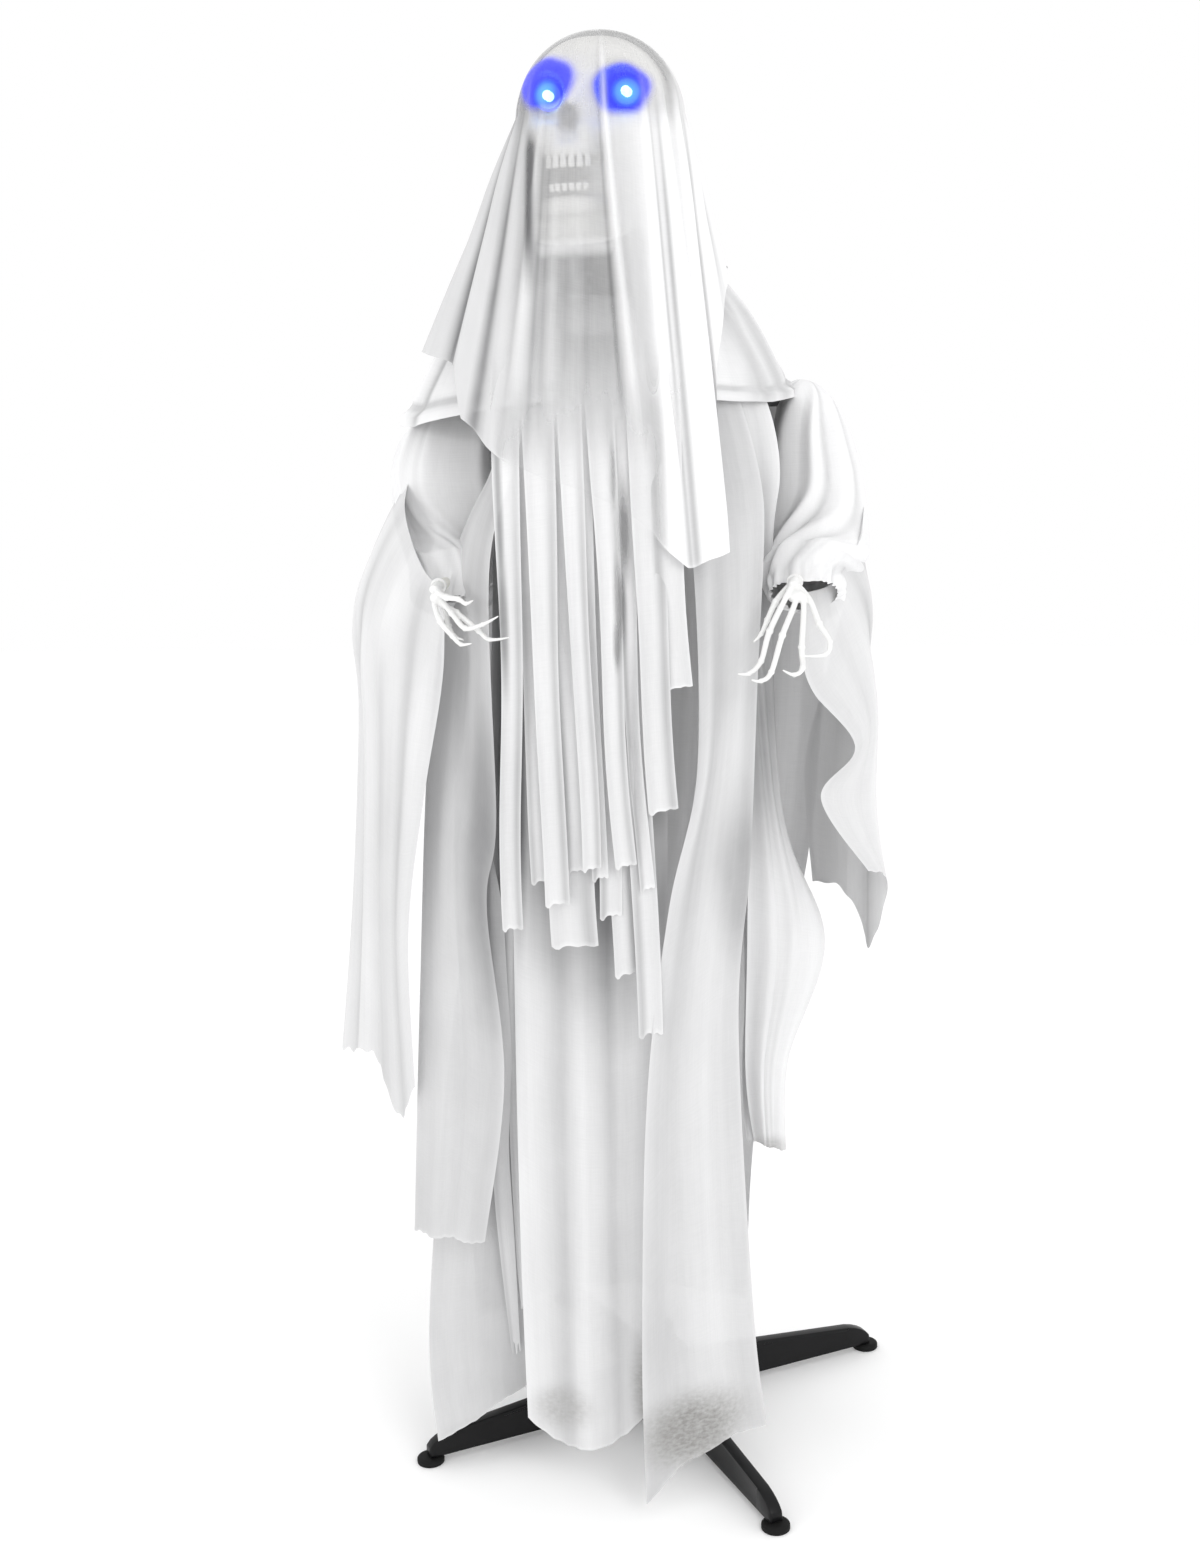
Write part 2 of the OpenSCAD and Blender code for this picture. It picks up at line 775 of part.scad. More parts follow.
module power_switch() {
  back = torso_rear - torso_wall - slide_gap;
  color("#c8c9cc") {
    box([control_x - knob_w, back - 3, control_z - knob_w - knob_travel],
      [control_x + knob_w, back, control_z + knob_w + knob_travel]);
    box([control_x - knob_w / 2, back - eps, control_z - knob_w / 2],
      [control_x + knob_w / 2, torso_rear + 4, control_z + knob_w / 2]);
  }
}
module test_button() {
  back = torso_rear - torso_wall - slide_gap;
  color("#b5323a")
    translate([-control_x, 0, control_z]) {
      rod_y(press_d, back - eps, torso_rear + press_travel + 1);
      rod_y(press_d + 4, back - 3, back);
    }
}

// Shoulders and arms
module hoop_wire(d) {
  translate([0, bar_y, hoop_top - hoop_r])
    rotate([90, 0, 0])
      rotate(90 - hoop_turn / 2)
        rotate_extrude(angle = hoop_turn)
          translate([hoop_r, 0])
            circle(d = d);
}
module shoulder_bar() {
  color("#3a3c40")
    translate([0, bar_y, shoulder_z])
      rod_x(bar_d, -bar_half, bar_half);
}
module shoulder_brackets() {
  color("#222326")
    difference() {
      for (s = [-1, 1])
        mirrored(s)
          translate([0, bar_y, shoulder_z])
            rod_x(bracket_d, bracket_in, bracket_out);
      translate([0, bar_y, shoulder_z])
        rod_x(bar_d + 2 * fixed_gap, -bar_half - fixed_gap, bar_half + fixed_gap);
      translate([0, bar_y, shoulder_z])
        rod_x(pivot_d + 2 * fixed_gap, -bracket_out - eps, bracket_out + eps);
      hoop_wire(hoop_d + 2 * fixed_gap);
    }
}
module shoulder_pins() {
  color("#9fa2a8")
    for (s = [-1, 1])
      mirrored(s)
        translate([0, bar_y, shoulder_z]) {
          rod_x(pivot_d, bar_half + 2, eye_in + eye_t + slide_gap + eps);
          rod_x(pivot_d + 8, eye_in + eye_t + slide_gap, eye_in + eye_t + slide_gap + pivot_head);
        }
}
module shoulder_hoop() {
  color("#6f7278")
    hoop_wire(hoop_d);
}
module arm_bend(d, extra) {
  translate([arm_x, bend_y, bend_z])
    rotate([90, 0, 90])
      rotate(270)
        rotate_extrude(angle = 90)
          translate([bend_r, 0])
            circle(d = d);
  translate([arm_x, bar_y, bend_z])
    cylinder(d = d, h = upper_drop);
  translate([arm_x, 0, fore_z])
    rod_y(d, wrist_y - extra, bend_y);
}
module arm_tube(side) {
  color("#3c3e42")
    mirrored(side)
      difference() {
        union() {
          arm_bend(arm_d, 0);
          translate([0, bar_y, shoulder_z])
            rod_x(eye_d, eye_in, eye_in + eye_t);
        }
        translate([arm_x, 0, fore_z])
          rod_y(arm_d - 2 * arm_wall, wrist_y - eps, bend_y);
        translate([0, bar_y, shoulder_z])
          rod_x(pivot_d + 2 * turn_gap, 0, 2 * arm_x);
      }
}
module wrist_plug(side) {
  color("#55585d")
    mirrored(side)
      translate([arm_x, 0, fore_z]) {
        rod_y(arm_d - 2 * arm_wall - 2 * turn_gap, wrist_y - slide_gap - eps, wrist_y + plug_len);
        rod_y(arm_d + 4, hand_y, wrist_y - slide_gap);
      }
}
module bone(a, ra, b, rb) {
  hull() {
    translate(a)
      sphere(ra, $fn = 8);
    translate(b)
      sphere(rb, $fn = 8);
  }
}
module finger(x, reach) {
  base = [x, -50, -9];
  knuckle = [1.15 * x - 3, -50 - 24 * reach, -9 - 22 * reach];
  second = [1.2 * x - 8, -50 - 38 * reach, -9 - 58 * reach];
  tip = [1.15 * x - 26, -50 - 52 * reach, -9 - 76 * reach];
  bone(base, 5, knuckle, 4.4);
  bone(knuckle, 4.4, second, 3.8);
  bone(second, 3.8, tip, 1.4);
}
module hand(side) {
  color("#d9d5c8")
    mirrored(side)
      translate([arm_x, hand_y, fore_z]) {
        rod_y(arm_d, -14, 0, $fn = 12);
        bone([0, -12, 0], 7, [-16, -50, -8], 5);
        bone([0, -12, 0], 7, [-5, -52, -8], 5);
        bone([0, -12, 0], 7, [6, -52, -8], 5);
        bone([0, -12, 0], 7, [17, -50, -9], 5);
        finger(-16, 0.9);
        finger(-5, 1.05);
        finger(6, 1);
        finger(17, 0.85);
        bone([-6, -20, -2], 5, [-30, -40, -16], 4.2);
        bone([-30, -40, -16], 4.2, [-38, -56, -42], 1.6);
      }
}

// Skull
module ball(p, r) {
  translate(p)
    sphere(r, $fn = 14);
}
module skull_form() {
  scale([80, 94, 84])
    sphere(1, $fn = 30);
  hull() {
    ball([-37, -68, 26], 15);
    ball([0, -75, 30], 13);
    ball([37, -68, 26], 15);
  }
  hull() {
    ball([0, -88, 16], 8);
    ball([0, -90, -12], 9);
  }
  hull()
    for (s = [-1, 1]) {
      ball([20 * s, -74, -36], 16);
      ball([15 * s, -78, -56], 13);
    }
  hull()
    for (s = [-1, 1]) {
      ball([20 * s, -78, -110], 14);
      ball([15 * s, -80, -96], 10);
    }
  for (s = [-1, 1]) {
    hull() {
      ball([60 * s, -46, -18], 13);
      ball([44 * s, -74, -26], 13);
    }
    hull() {
      ball([58 * s, -22, -36], 11);
      ball([47 * s, -36, -90], 11);
    }
    hull() {
      ball([47 * s, -36, -90], 11);
      ball([20 * s, -78, -110], 13);
    }
  }
  for (k = [-4:4], low = [-66, -92])
    translate([0, -50, low])
      rotate(k * 11)
        box([-3.6, -46, 0], [3.6, -36, 14]);
}
module skull_shell() {
  difference() {
    union() {
      difference() {
        translate([0, head_y, head_z])
          scale(skull_scale)
            skull_form();
        translate([0, head_y, head_z])
          scale([skull_w / 2 - skull_wall, skull_d / 2 - skull_wall, skull_h / 2 - skull_wall])
            sphere(1, $fn = 24);
      }
      translate([0, neck_y, skull_low])
        cylinder(r = bearing_r + 5, h = shaft_top - skull_low + 4);
    }
    for (s = [-1, 1])
      translate([s * socket_x, socket_y, socket_z])
        sphere(d = socket_d, $fn = 24);
    for (s = [-1, 1])
      translate([s * socket_x, socket_y, socket_z])
        rod_y(lamp_d + 2, 0, socket_d);
    translate([0, head_y, head_z])
      scale(skull_scale)
        hull() {
          ball([0, -100, -2], 3);
          ball([-8, -100, -22], 5);
          ball([8, -100, -22], 5);
        }
    translate([0, neck_y, skull_low - eps])
      cylinder(d = shaft_d + 1, h = shaft_top - skull_low + eps, $fn = 32);
  }
}
module skull_face() {
  color("#dedbd2")
    intersection() {
      skull_shell();
      box([-skull_w, head_y - 2 * skull_d, skull_low - skull_h], [skull_w, head_y, head_z + skull_h]);
    }
}
module skull_back() {
  color("#d8d5cc")
    intersection() {
      skull_shell();
      box([-skull_w, head_y, skull_low - skull_h], [skull_w, head_y + 2 * skull_d, head_z + skull_h]);
    }
}
module eye_cups() {
  outer = socket_d - 2 * cup_gap;
  color("#2b56d8")
    for (s = [-1, 1])
      translate([s * socket_x, socket_y, socket_z])
        difference() {
          sphere(d = outer);
          sphere(d = outer - 2 * cup_t);
          box([-outer, -outer, -outer], [outer, outer / 3, outer]);
          rod_y(lamp_d + 2 * fixed_gap, 0, outer);
        }
}
module eye_lamps() {
  seat = socket_d / 2 - cup_gap;
  color("#8fe9ff")
    for (s = [-1, 1])
      translate([s * socket_x, socket_y + seat - lamp_len, socket_z]) {
        rod_y(lamp_d, 0, lamp_len + 3);
        sphere(d = lamp_d);
      }
}

// Cape: a ring of cloth from the neckline to a hem round both shoulders
function cape_at(a, v) =
  let (
    neck = [cape_neck_r * cos(a), cape_neck_y + cape_neck_r * sin(a),
      mix(cape_back_z, cape_front_z, pow((1 - sin(a)) / 2, 2))],
    hem = [cape_hem_x * cos(a), cape_hem_y + cape_hem_d * sin(a), cape_hem_z - 12 * cos(a) * cos(a) + 5 * sin(3 * a + 40)],
    out = unit([cos(a) / cape_hem_x, sin(a) / cape_hem_d, 0])
  )
  mix(neck, hem, v) + [0, 0, cape_swell * sin(180 * v)] + out * fold_depth * 0.7 * v * v * sin(11 * a);
cape_f = function (u, v) cape_at(360 * u, v);
function cape_inner(u, v) = cape_f(u, v) - (cloth_t + seat_gap) * facing(cape_f, u, v);

// Point under the cape where a panel hangs, on the straight run between two of the cape's columns
function cape_hook(a) =
  let (x = a / 360 * cape_cols, i = floor(x))
  mix(cape_inner(i / cape_cols, cape_seat), cape_inner((i + 1) / cape_cols, cape_seat), x - i);
module cape() {
  color("#eceae6")
    cloth(cape_f, cape_rows, cape_cols, round = true);
}

// Panel that hangs from the cape between two bearings: each edge is a list of [x, y, share of the cape's height]
function hung(p) = [p[0] * spread, p[1] * reach, p[2] * cape_hem_z];
function panel(from, to, left, right, swell, folds, sag) =
  let (a = [for (p = left) hung(p)], b = [for (p = right) hung(p)])
  function (u, v)
    let (
      l = along(a, v),
      r = along(b, v),
      side = unit([r[1] - l[1], l[0] - r[0], 0]),
      wave = fold_depth * ease(2.5 * v) * sin(360 * folds * u + 50),
      bulge = spread * swell * sqrt(v) * sin(180 * u),
      body = mix(l, r, u) + side * (bulge + wave) + [0, 0, spread * sag * v * v * sin(180 * u)]
    )
    mix(cape_hook(mix(from, to, u)), body, ease(4 * v));
module robe_back() {
  left = [[160, 58, 1], [158, 66, 0.95], [162, 90, 0.85], [150, 106, 0.55], [126, 122, 0.25], [114, 134, 0.062]];
  right = [[-160, 58, 1], [-160, 66, 0.95], [-168, 90, 0.85], [-190, 98, 0.55], [-232, 70, 0.25], [-252, 40, 0.062]];
  color("#e4e2de")
    cloth(panel(40, 140, left, right, 75, 5, 0), 7, 22);
}
module robe_front() {
  left = [[-76, -148, 1], [-80, -145, 0.95], [-100, -148, 0.87], [-122, -158, 0.7], [-127, -176, 0.46], [-126, -200, 0.24],
    [-121, -216, 0.066]];
  right = [[50, -158, 1], [52, -157, 0.95], [60, -172, 0.87], [60, -180, 0.7], [56, -200, 0.46], [50, -214, 0.24], [44, -226, 0.048]];
  color("#e8e6e2")
    cloth(panel(248, 284, left, right, 8, 2.5, -12), 7, 12);
}
module robe_front_left() {
  left = [[65, -156, 1], [70, -154, 0.95], [94, -182, 0.865], [96, -206, 0.69], [64, -232, 0.57], [36, -242, 0.4], [25, -254, 0.16],
    [28, -266, 0.016]];
  right = [[112, -141, 1], [116, -139, 0.95], [144, -144, 0.87], [168, -150, 0.73], [150, -160, 0.6], [134, -165, 0.45],
    [146, -160, 0.17], [160, -152, 0.05]];
  color("#ebe9e5")
    cloth(panel(288, 303, left, right, 6, 2, 26), 8, 9);
}
module robe_front_right() {
  left = [[-134, -130, 1], [-137, -127, 0.95], [-144, -124, 0.87], [-166, -110, 0.7], [-232, -130, 0.36], [-262, -150, 0.13],
    [-243, -198, 0.03]];
  right = [[-110, -141, 1], [-111, -139, 0.95], [-116, -136, 0.87], [-118, -138, 0.7], [-125, -150, 0.36], [-130, -160, 0.17],
    [-132, -168, 0.085]];
  color("#e2e0dc")
    cloth(panel(230, 238, left, right, 6, 2, 0), 7, 9);
}
module side_drape_left() {
  left = [[119, -137, 1], [121, -133, 0.95], [130, -122, 0.86], [146, -118, 0.7], [140, -112, 0.54], [122, -106, 0.38], [126, -60, 0.24]];
  right = [[139, -127, 1], [137, -117, 0.95], [142, -98, 0.86], [186, -72, 0.66], [220, -52, 0.5], [182, -34, 0.35], [152, -16, 0.23]];
  color("#e6e4e0")
    cloth(panel(305, 312, left, right, 6, 1.5, 0), 7, 8);
}
module side_drape_right() {
  left = [[-106, -143, 1], [-110, -143, 0.95], [-140, -160, 0.86], [-200, -166, 0.7], [-240, -188, 0.46], [-250, -200, 0.25]];
  right = [[-82, -151, 1], [-88, -156, 0.95], [-112, -180, 0.86], [-138, -194, 0.7], [-148, -200, 0.46], [-165, -212, 0.24]];
  color("#e9e7e3")
    cloth(panel(239, 247, left, right, 4, 1.5, 0), 7, 8);
}

// Sleeves: a gathered tube along the arm and a drape that hangs from its outer side
sleeve_sides = 18;
sleeve_top = bracket_d / 2 + 10 - upper_drop;
drape_side = -60;
drape_rings = [8, 7, 6, 5, 4];
function arm_spot(s) =
  s < 0 ? [bar_y, bend_z - s, 0]
  : s < 90 ? [bend_y + bend_r * cos(s), bend_z - bend_r * sin(s), s]
  : [bend_y - (s - 90), fore_z, 90];

// Rings down the arm: [distance or bend angle, share of the radius, share of the outward shift]
sleeve_rings = [
  [sleeve_top, 0.64, 0.1], [sleeve_top / 2, 0.94, 0.6], [0, 1.02, 1], [22, 1.05, 1], [45, 1.05, 1], [68, 1.02, 0.9],
  [90, 0.96, 0.7], [108, 0.88, 0.5], [124, 0.76, 0.2], [131, cuff_r / sleeve_r, 0]
];
cuff = len(sleeve_rings) - 1;
function ring_core(k, shift) =
  let (ring = sleeve_rings[k], spot = arm_spot(ring[0]))
  [arm_x + shift * ring[2], spot[0], spot[1]];
function ring_way(k, a) =
  let (bend = arm_spot(sleeve_rings[k][0])[2])
  [-sin(a), cos(a) * cos(bend), -cos(a) * sin(bend)];
function ring_r(k, a) =
  sleeve_r * sleeve_rings[k][1] * (k == cuff ? 1 : 1 + 0.05 * sin(6 * a + 30 * k));
function sleeve_at(k, a, shift) = ring_core(k, shift) + ring_r(k, a) * ring_way(k, a);
function sleeve_in(k, a, shift) =
  sleeve_at(k, a, shift) - cloth_t * ring_way(k, a) + [0, k == cuff - 1 ? cloth_t : 0, 0];
module sleeve_tube(shift) {
  turn = 360 / sleeve_sides;
  skin(
    [for (k = [0:cuff]) [for (j = [0:sleeve_sides - 1]) sleeve_at(k, turn * j, shift)]],
    [for (k = [0:cuff]) [for (j = [0:sleeve_sides - 1]) sleeve_in(k, turn * j, shift)]],
    round = true
  );
}
function sleeve_drape(front, back, folds, shift) =
  let (
    hook = [for (k = drape_rings)
      sleeve_at(k, drape_side, shift) + (seat_gap + cloth_t) * ring_way(k, drape_side)],
    last = len(hook) - 1,
    a = concat([hook[0]], [for (p = front) hung(p)]),
    b = concat([hook[last]], [for (p = back) hung(p)])
  )
  function (u, v)
    let (
      x = min(max(u, 0), 1) * last,
      i = min(floor(x), last - 1),
      l = along(a, v) - a[0],
      r = along(b, v) - b[0],
      wave = 1.5 * fold_depth * ease(2 * v) * sin(360 * folds * u + 20)
    )
    mix(hook[i], hook[i + 1], x - i) + mix(l, r, u) + [wave, 0, 0];
module drape(f) {
  size = 8;
  last = len(drape_rings) - 1;
  skin(
    [for (i = [0:size]) [for (j = [0:size]) f(j / size, i / size)]],
    [for (i = [0:size]) [for (j = [0:size])
      let (u = j / size, v = i / size, k = drape_rings[round(u * last)])
      f(u, v) - cloth_t * (i == 0 ? ring_way(k, drape_side) : facing(f, u, v))]]
  );
}
module sleeve_left() {
  shift = 8;
  front = [[226, -150, 0.78], [232, -158, 0.68], [214, -148, 0.6], [236, -118, 0.5]];
  back = [[276, 26, 0.8], [284, 22, 0.68], [296, 8, 0.56], [276, -12, 0.46]];
  color("#edebe7") {
    sleeve_tube(shift);
    drape(sleeve_drape(front, back, 2, shift));
  }
}
module sleeve_right() {
  shift = 24;
  front = [[218, -154, 0.76], [234, -166, 0.62], [256, -172, 0.5], [272, -168, 0.37]];
  back = [[334, 14, 0.82], [346, -4, 0.68], [358, -24, 0.54], [382, -52, 0.39]];
  color("#eae8e4")
    mirror([1, 0, 0]) {
      sleeve_tube(shift);
      drape(sleeve_drape(front, back, 2.5, shift));
    }
}

// Veil: a dome over the skull that falls to a hem, given at sixteen bearings from the figure's left,
// each as [x, y, share of the way up from the shoulders to the head's middle]
veil_hem = [
  [126, -198, 0.134], [118, -92, 0.517], [104, 44, 0.517], [70, 132, 0.275],
  [0, 170, 0.074], [-84, 152, 0.108], [-182, 66, 0.262], [-216, -44, 0.295],
  [-206, -152, 0.201], [-168, -206, 0.04], [-120, -240, -0.128], [-68, -259, -0.134],
  [-10, -266, -0.117], [46, -263, -0.302], [92, -248, -0.584], [122, -220, -0.584]
];
veil_edge = [for (p = veil_hem) [p[0] * veil_spread, p[1] * reach, mix(cape_hem_z, head_z, p[2])]];
function veil_at(a, v) =
  let (
    tilt = mix(5, 90, min(v / veil_dome, 1)),
    dome = [veil_x * sin(tilt) * cos(a), head_y + veil_y * sin(tilt) * sin(a), veil_z + veil_h * cos(tilt)],
    fall = max((v - veil_dome) / (1 - veil_dome), 0),
    hem = around(veil_edge, a / 360),
    out = [cos(a), sin(a), 0]
  )
  mix(dome, hem, fall) + out * (8 * fall * (1 - fall) + fold_depth * ease(fall * 1.4) * sin(9 * a));
veil_f = function (u, v) veil_at(360 * u, v);
function veil_inner(u, v, gap) = veil_f(u, v) - (cloth_t + gap) * facing(veil_f, u, v);
function veil_hook(a, v) =
  let (x = a / 360 * veil_cols, i = floor(x))
  mix(veil_inner(i / veil_cols, v, seat_gap), veil_inner((i + 1) / veil_cols, v, seat_gap), x - i);
module veil() {
  color("#f3f2ef")
    cloth(veil_f, veil_rows, veil_cols, round = true, capped = true);
}

// Strips that hang from the veil's front: [bearing, row of the veil, sideways drift, share of the drop, depth]
strips = [
  [225, 1, -2, 1.04, 3], [252, 1, 2, 0.95, 3], [279, 1, -8, 1.24, 2],
  [234, 2, 0, 1.02, 16], [261, 2, -2, 1.16, 16], [243, 3, 0, 1.2, 28], [270, 3, 0, 1.06, 28]
];
strip_turn = 18;
function strip(s) =
  let (row = 1 - s[1] / veil_rows)
  function (u, v)
    veil_hook(s[0] + strip_turn * u, row)
    + [s[2] * v, s[4] * ease(6 * v) + 2 * v * sin(300 * v + s[0] * 7), (8 * u - strip_drop * s[3]) * v];
module veil_strips() {
  color("#f0efec")
    for (s = strips)
      cloth(strip(s), 6, 2);
}

base_hub();
leg(3);  // leg_front_left
leg(2);  // leg_front_right
leg(0);  // leg_back_left
leg(1);  // leg_back_right
foot(3);  // foot_front_left
foot(2);  // foot_front_right
foot(0);  // foot_back_left
foot(1);  // foot_back_right
leg_pins();
clamp_screw();
lower_pole();
upper_pole();
snap_button();
button_spring();
torso_front_shell();
torso_rear_shell();
torso_screws();
drive_plate();
drive_motor();
motor_pinion();
neck_gear();
neck_shaft();
neck_bush();
neck_column();
speaker();
sensor_lens();
control_board();
battery_bay();
batteries();
battery_door();
power_switch();
test_button();
shoulder_bar();
shoulder_brackets();
shoulder_pins();
shoulder_hoop();
arm_tube(1);  // arm_tube_left
arm_tube(-1);  // arm_tube_right
wrist_plug(1);  // wrist_plug_left
wrist_plug(-1);  // wrist_plug_right
hand(1);  // hand_left
hand(-1);  // hand_right
skull_face();
skull_back();
eye_cups();
eye_lamps();
veil();
veil_strips();
cape();
robe_back();
robe_front();
robe_front_left();
robe_front_right();
side_drape_left();
side_drape_right();
sleeve_left();
sleeve_right();
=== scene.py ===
import math

import bpy
import numpy as np
from mathutils import Matrix, Vector


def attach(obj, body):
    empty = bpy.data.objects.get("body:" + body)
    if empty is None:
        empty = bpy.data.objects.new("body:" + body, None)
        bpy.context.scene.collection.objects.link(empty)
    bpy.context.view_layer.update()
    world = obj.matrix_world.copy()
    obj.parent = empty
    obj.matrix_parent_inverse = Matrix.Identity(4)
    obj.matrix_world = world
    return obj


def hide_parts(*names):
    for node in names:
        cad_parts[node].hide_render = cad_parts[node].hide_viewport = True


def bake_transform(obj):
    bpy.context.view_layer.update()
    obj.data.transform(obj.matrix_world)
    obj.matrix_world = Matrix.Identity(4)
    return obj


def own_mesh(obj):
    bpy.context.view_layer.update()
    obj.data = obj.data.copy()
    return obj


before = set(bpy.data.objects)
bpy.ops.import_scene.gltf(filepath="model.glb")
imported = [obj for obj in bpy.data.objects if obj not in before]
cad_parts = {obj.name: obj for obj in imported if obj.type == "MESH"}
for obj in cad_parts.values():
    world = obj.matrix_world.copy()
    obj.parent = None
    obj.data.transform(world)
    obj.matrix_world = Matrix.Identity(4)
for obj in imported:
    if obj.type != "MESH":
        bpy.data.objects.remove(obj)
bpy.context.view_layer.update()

# Small tools, in millimetres until a mesh is placed


def clearSelection():
    if bpy.context.object and bpy.context.object.mode != "OBJECT":
        bpy.ops.object.mode_set(mode="OBJECT")
    bpy.ops.object.select_all(action="DESELECT")


def pickOnly(*objs):
    clearSelection()
    for o in objs:
        o.select_set(True)
    bpy.context.view_layer.objects.active = objs[0]


def ease(t):
    t = np.clip(t, 0, 1)
    return t * t * (3 - 2 * t)


def mix(a, b, t):
    return a + (b - a) * t


def above(x, at, run):
    return ease((x - at) / run)


def below(x, at, run):
    return ease((at - x) / run)


def within(x, at, half, run):
    return ease((half - np.abs(x - at)) / run)


def bell(x, at, wide):
    return np.exp(-((x - at) / wide) ** 2)


def foldWave(crest, crease, dip):  # height of a fold, with its crease sunk in
    return crest - 0.35 - dip * crease


def row(*parts):
    return np.stack(np.broadcast_arrays(*[np.asarray(p, float) for p in parts]), axis=-1)


def unit(v):
    return v / (np.linalg.norm(v, axis=-1, keepdims=True) + 1e-9)


def splineAt(points, s, loop=False):  # smooth run through given points
    p = np.asarray(points, float)
    n = len(p)
    s = np.asarray(s, float)
    if loop:
        x = np.mod(s, 1) * n
        i = np.floor(x).astype(int) % n
        k = [(i - 1) % n, i, (i + 1) % n, (i + 2) % n]
        t = x - np.floor(x)
    else:
        x = np.clip(s, 0, 1) * (n - 1)
        i = np.minimum(np.floor(x).astype(int), n - 2)
        k = [np.maximum(i - 1, 0), i, i + 1, np.minimum(i + 2, n - 1)]
        t = x - i
    a, b, c, d = (p[j] for j in k)
    t = t[..., None]
    square = (2 * a - 5 * b + 4 * c - d) * t ** 2
    cube = (3 * b - a - 3 * c + d) * t ** 3
    return 0.5 * (2 * b + (c - a) * t + square + cube)


def ripple(seed, uWaves, vWaves, count=9):  # soft uneven waves, about -1 to 1
    rng = np.random.default_rng(seed)
    waves = []
    for _ in range(count):
        waves.append((rng.uniform(0.4, 1) * uWaves, rng.uniform(-1, 1) * vWaves, rng.uniform(0, 6.28)))

    def at(u, v):
        return sum(np.sin(6.283 * (f * u + g * v) + h) for f, g, h in waves) / math.sqrt(count) * 0.8
    return at


def pleats(seed, count, loop=False, wide=(0.16, 0.4)):  # uneven crests with a crease beside each, 0 to 1
    rng = np.random.default_rng(seed)
    spots = (np.arange(count) + 0.5 + rng.uniform(-0.34, 0.34, count)) / count
    girth = rng.uniform(*wide, count) / count
    tall = rng.uniform(0.45, 1, count)
    drift = rng.uniform(-0.4, 0.4, count) / count
    late = rng.uniform(0, 0.3, count)
    hand = rng.choice((-1, 1), count)

    def at(u, v):
        crest, crease = np.zeros(np.broadcast(u, v).shape), np.zeros(np.broadcast(u, v).shape)
        for c, w, h, d, l, k in zip(spots, girth, tall, drift, late, hand):
            x = u - c - d * v
            if loop:
                x = np.mod(x + 0.5, 1) - 0.5
            x = x / (w * (1 + 0.5 * v))
            grown = h * ease((v - l) * 3 + 0.15)
            crest = np.maximum(crest, grown / (1 + x ** 2) ** 1.5)
            crease = np.maximum(crease, grown * np.exp(-((x - 1.7 * k) / 0.5) ** 2))
        return np.clip(crest, 0, 1), np.clip(crease, 0, 1)
    return at


# rimLight lightens the cut edges as a painted highlight; valley and crease darken fold valleys and creases as
# painted shade
weaveSet = {"rim": 0.0025, "rimCover": 0.2, "rimLight": 0.3, "valley": 0.3, "crease": 0.4, "seam": 0.00005}


def weave(name, place, cells, flat, cover, closed=False, hem=0.0, shadeTone=0.0):  # a grid laid along place(u, v)
    cols, rows = cells
    clearSelection()
    bpy.ops.mesh.primitive_grid_add(x_subdivisions=cols, y_subdivisions=rows, size=1, calc_uvs=True)
    obj = bpy.context.object
    obj.name = obj.data.name = name
    mesh = obj.data
    co = np.empty(len(mesh.vertices) * 3, np.float32)
    mesh.vertices.foreach_get("co", co)
    co = co.reshape(-1, 3)
    u, v = co[:, 0] + 0.5, 0.5 - co[:, 1]
    cut = ripple(len(name) + cols, 2.5, 0)(u, 0 * u)  # torn hem
    cut = cut + 0.3 * ripple(len(name) + rows, 12, 0)(u, 0 * u)
    drop = v * (1 - hem * (0.5 + 0.5 * cut) * ease((v - 0.5) * 2))
    # place gives the points, and the crest and crease that set the painted shade
    spots, crest, crease = place(u, drop)
    mesh.vertices.foreach_set("co", (spots / 1000).astype(np.float32).ravel())
    uv = np.empty(len(mesh.loops) * 2, np.float32)
    mesh.uv_layers.active.data.foreach_get("uv", uv)
    uv = uv.reshape(-1, 2) * np.array(flat, np.float32)  # threads at their real size
    mesh.uv_layers.active.data.foreach_set("uv", uv.ravel())
    rim = (1 - v) * flat[1]
    if not closed:
        rim = np.minimum(rim, np.minimum(u, 1 - u) * flat[0])
    rim = np.exp(-rim / weaveSet["rim"])
    paint(obj, "cover", np.clip(cover[0] + (cover[1] - cover[0]) * crest + weaveSet["rimCover"] * rim, 0, 1))
    # painted shade: a level set for each piece, more in fold valleys and creases, less at the rims
    depth = shadeTone + weaveSet["valley"] * (1 - crest) + weaveSet["crease"] * crease
    paint(obj, "shade", np.clip(depth * (1 - weaveSet["rimLight"] * rim), 0, 1))
    for layer in ("stain", "glow", "core"):
        paint(obj, layer, 0 * u)
    mesh.update()
    pickOnly(obj)
    if closed:
        bpy.ops.object.mode_set(mode="EDIT")
        bpy.ops.mesh.select_all(action="SELECT")
        bpy.ops.mesh.remove_doubles(threshold=weaveSet["seam"])
        bpy.ops.object.mode_set(mode="OBJECT")
    bpy.ops.object.shade_smooth()
    return obj


def painted(obj, name):
    out = np.empty(len(obj.data.vertices), np.float32)
    obj.data.attributes[name].data.foreach_get("value", out)
    return out


def spotMask(obj, spots):  # soft patches given by x, z, half width, half height and strength
    co = places(obj)
    out = np.zeros(len(co))
    for x, z, wide, tall, power in spots:
        out = np.maximum(out, power * ease(1.3 - np.hypot((co[:, 0] - x) / wide, (co[:, 2] - z) / tall)))
    return out


def paint(obj, name, values):
    layer = obj.data.attributes.get(name) or obj.data.attributes.new(name, "FLOAT", "POINT")
    layer.data.foreach_set("value", np.asarray(values, np.float32))


def places(obj):
    co = np.empty(len(obj.data.vertices) * 3, np.float32)
    obj.data.vertices.foreach_get("co", co)
    return co.reshape(-1, 3) * 1000


